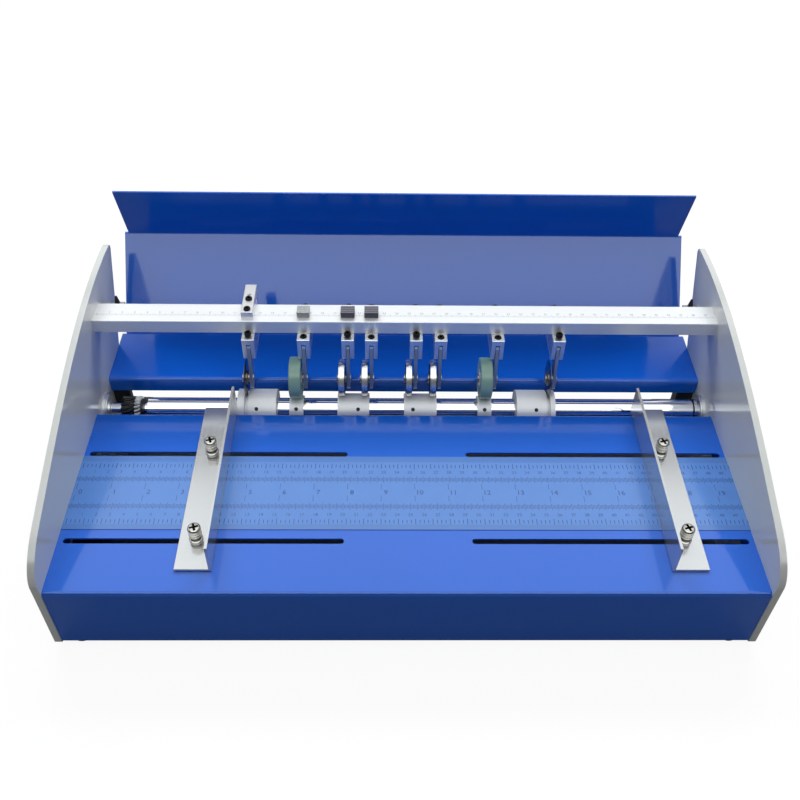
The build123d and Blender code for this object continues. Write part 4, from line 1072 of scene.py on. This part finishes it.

# -------------------------------------------------------------------------- studio
# A pale seamless floor and four soft lamps. The key lamp, from behind, and the fill lamp light the
# machine. The ceiling and front lamps are only mirrored in it. The floor glows white, but not beneath the
# machine: there a darker patch is painted as shadow, and the real shade shows within it.
bpy.ops.mesh.primitive_plane_add(size=12.0)
floor = bpy.context.object
floor.name = "floor"
floor_paint_and_shadow = coated("floor_paint_and_shadow", 2.0, (0.21, 0.21, 0.21), (0.23, 0.23, 0.23), Roughness=0.9)
floor_x, floor_y = floor_paint_and_shadow.along("X"), floor_paint_and_shadow.along("Y")
shade_side = plate_outer_x - 0.001
shade_front, shade_back = apron_front + 0.01, apron_front + 0.246
# Painted shadow: the floor under the machine gets no glow, so it stays a darker patch, with the real
# shade in it.
painted_shadow_patch = (abs(floor_x) < shade_side) * (floor_y > shade_front) * (floor_y < shade_back)
glow_share, glow_strength = 0.55, 1.66
seen = floor_paint_and_shadow.add("ShaderNodeLightPath", output="Is Camera Ray")
lit = seen * glow_share * (1 - painted_shadow_patch)
glow = floor_paint_and_shadow.add("ShaderNodeEmission", None, {"Color": (1, 1, 1, 1), "Strength": glow_strength})
surface = Value(floor_paint_and_shadow, floor_paint_and_shadow.shader.outputs[0])
blend = floor_paint_and_shadow.add("ShaderNodeMixShader", None, {0: lit, 1: surface, 2: glow})
floor_paint_and_shadow.tree.links.new(blend.socket, floor_paint_and_shadow.tree.nodes["Material Output"].inputs["Surface"])
floor_paint_and_shadow.on(floor)

world = bpy.data.worlds.new("studio")
bpy.context.scene.world = world
world.use_nodes = True

# Metal sees a white sweep behind and beside it, up to the lamps' lower edge, and a dark room in front.
# Diffuse light from the sky is only a little fill.
sweep_top, sweep_edge = 0.62, 0.65  # heights of the sweep's edge, as sines of its elevation
sweep_range = {"From Min": sweep_top, "From Max": sweep_edge, "To Min": 1.0, "To Max": 0.15}
room_range = {"From Min": -0.35, "From Max": 0.0, "To Min": 0.12, "To Max": 1.0}
little_fill = 0.07
sky = NodeTree(world.node_tree)
sky_way = sky.add("ShaderNodeTexCoord", output="Generated")
upward = sky.add("ShaderNodeSeparateXYZ", None, {0: sky_way}, output=2)
backward = sky.add("ShaderNodeSeparateXYZ", None, {0: sky_way}, output=1)
sweep = sky.add("ShaderNodeMapRange", None, {"Value": upward, **sweep_range})
room = sky.add("ShaderNodeMapRange", None, {"Value": backward, **room_range})
mirrored_light = sky.add("ShaderNodeLightPath", output="Is Glossy Ray") * (sweep * room)
sky_light = mirrored_light | little_fill | sky.add("ShaderNodeLightPath", output="Is Camera Ray")
background = world.node_tree.nodes["Background"]
background.inputs["Color"].default_value = (1, 1, 1, 1)
world.node_tree.links.new(sky_light.socket, background.inputs["Strength"])

lamp_aim = Vector((0.0, -0.05, 0.07))  # the middle of the machine
lamp_colour = (0.93, 0.98, 1.0)


def lamp(name, place, size, brightness):
    """A rectangular soft lamp that faces the machine, as bright as a white surface times brightness."""
    bpy.ops.object.light_add(type="AREA", location=place)
    light = bpy.context.object
    light.name = name
    light.rotation_euler = (lamp_aim - light.location).to_track_quat("-Z", "Y").to_euler()
    light.data.shape = "RECTANGLE"
    light.data.size, light.data.size_y = size
    light.data.energy = brightness * math.pi * size[0] * size[1]
    light.data.color = lamp_colour
    light.visible_camera = False
    return light


for name, place, size, brightness in (
    ("key_lamp", (0.0, 1.62, 1.80), (3.0, 0.9), 7.4),
    ("fill_lamp", (0.0, -0.60, 1.75), (3.5, 2.4), 0.75),
):
    lamp(name, place, size, brightness).visible_glossy = False
for name, place, size, brightness in (
    ("ceiling_lamp", (0.0, 0.28, 1.75), (3.5, 2.3), 1.27),
    ("front_lamp", (0.0, -1.30, 1.75), (3.5, 0.86), 2.4),
):
    light = lamp(name, place, size, brightness)
    light.rotation_euler = (0, 0, 0)  # it faces straight down
    light.visible_diffuse = False

focal_length, film_width = 914.0859 / 800.0, 36.0  # the first in picture widths
camera_up, camera_pan, camera_roll = 90.0 - 44.7996, -1.3763, 1.1975  # degrees
camera_data = bpy.data.cameras.new("camera")
camera = bpy.data.objects.new("camera", camera_data)
bpy.context.scene.collection.objects.link(camera)
camera_data.sensor_width = film_width
camera_data.lens = film_width * focal_length
camera.location = (-0.01749, apron_front - 0.34888, 0.60047)
camera.rotation_euler = (math.radians(camera_up), 0.0, math.radians(camera_pan))
camera.rotation_euler.rotate_axis("Z", math.radians(camera_roll))
bpy.context.scene.camera = camera
bpy.context.scene.view_settings.view_transform = "Standard"
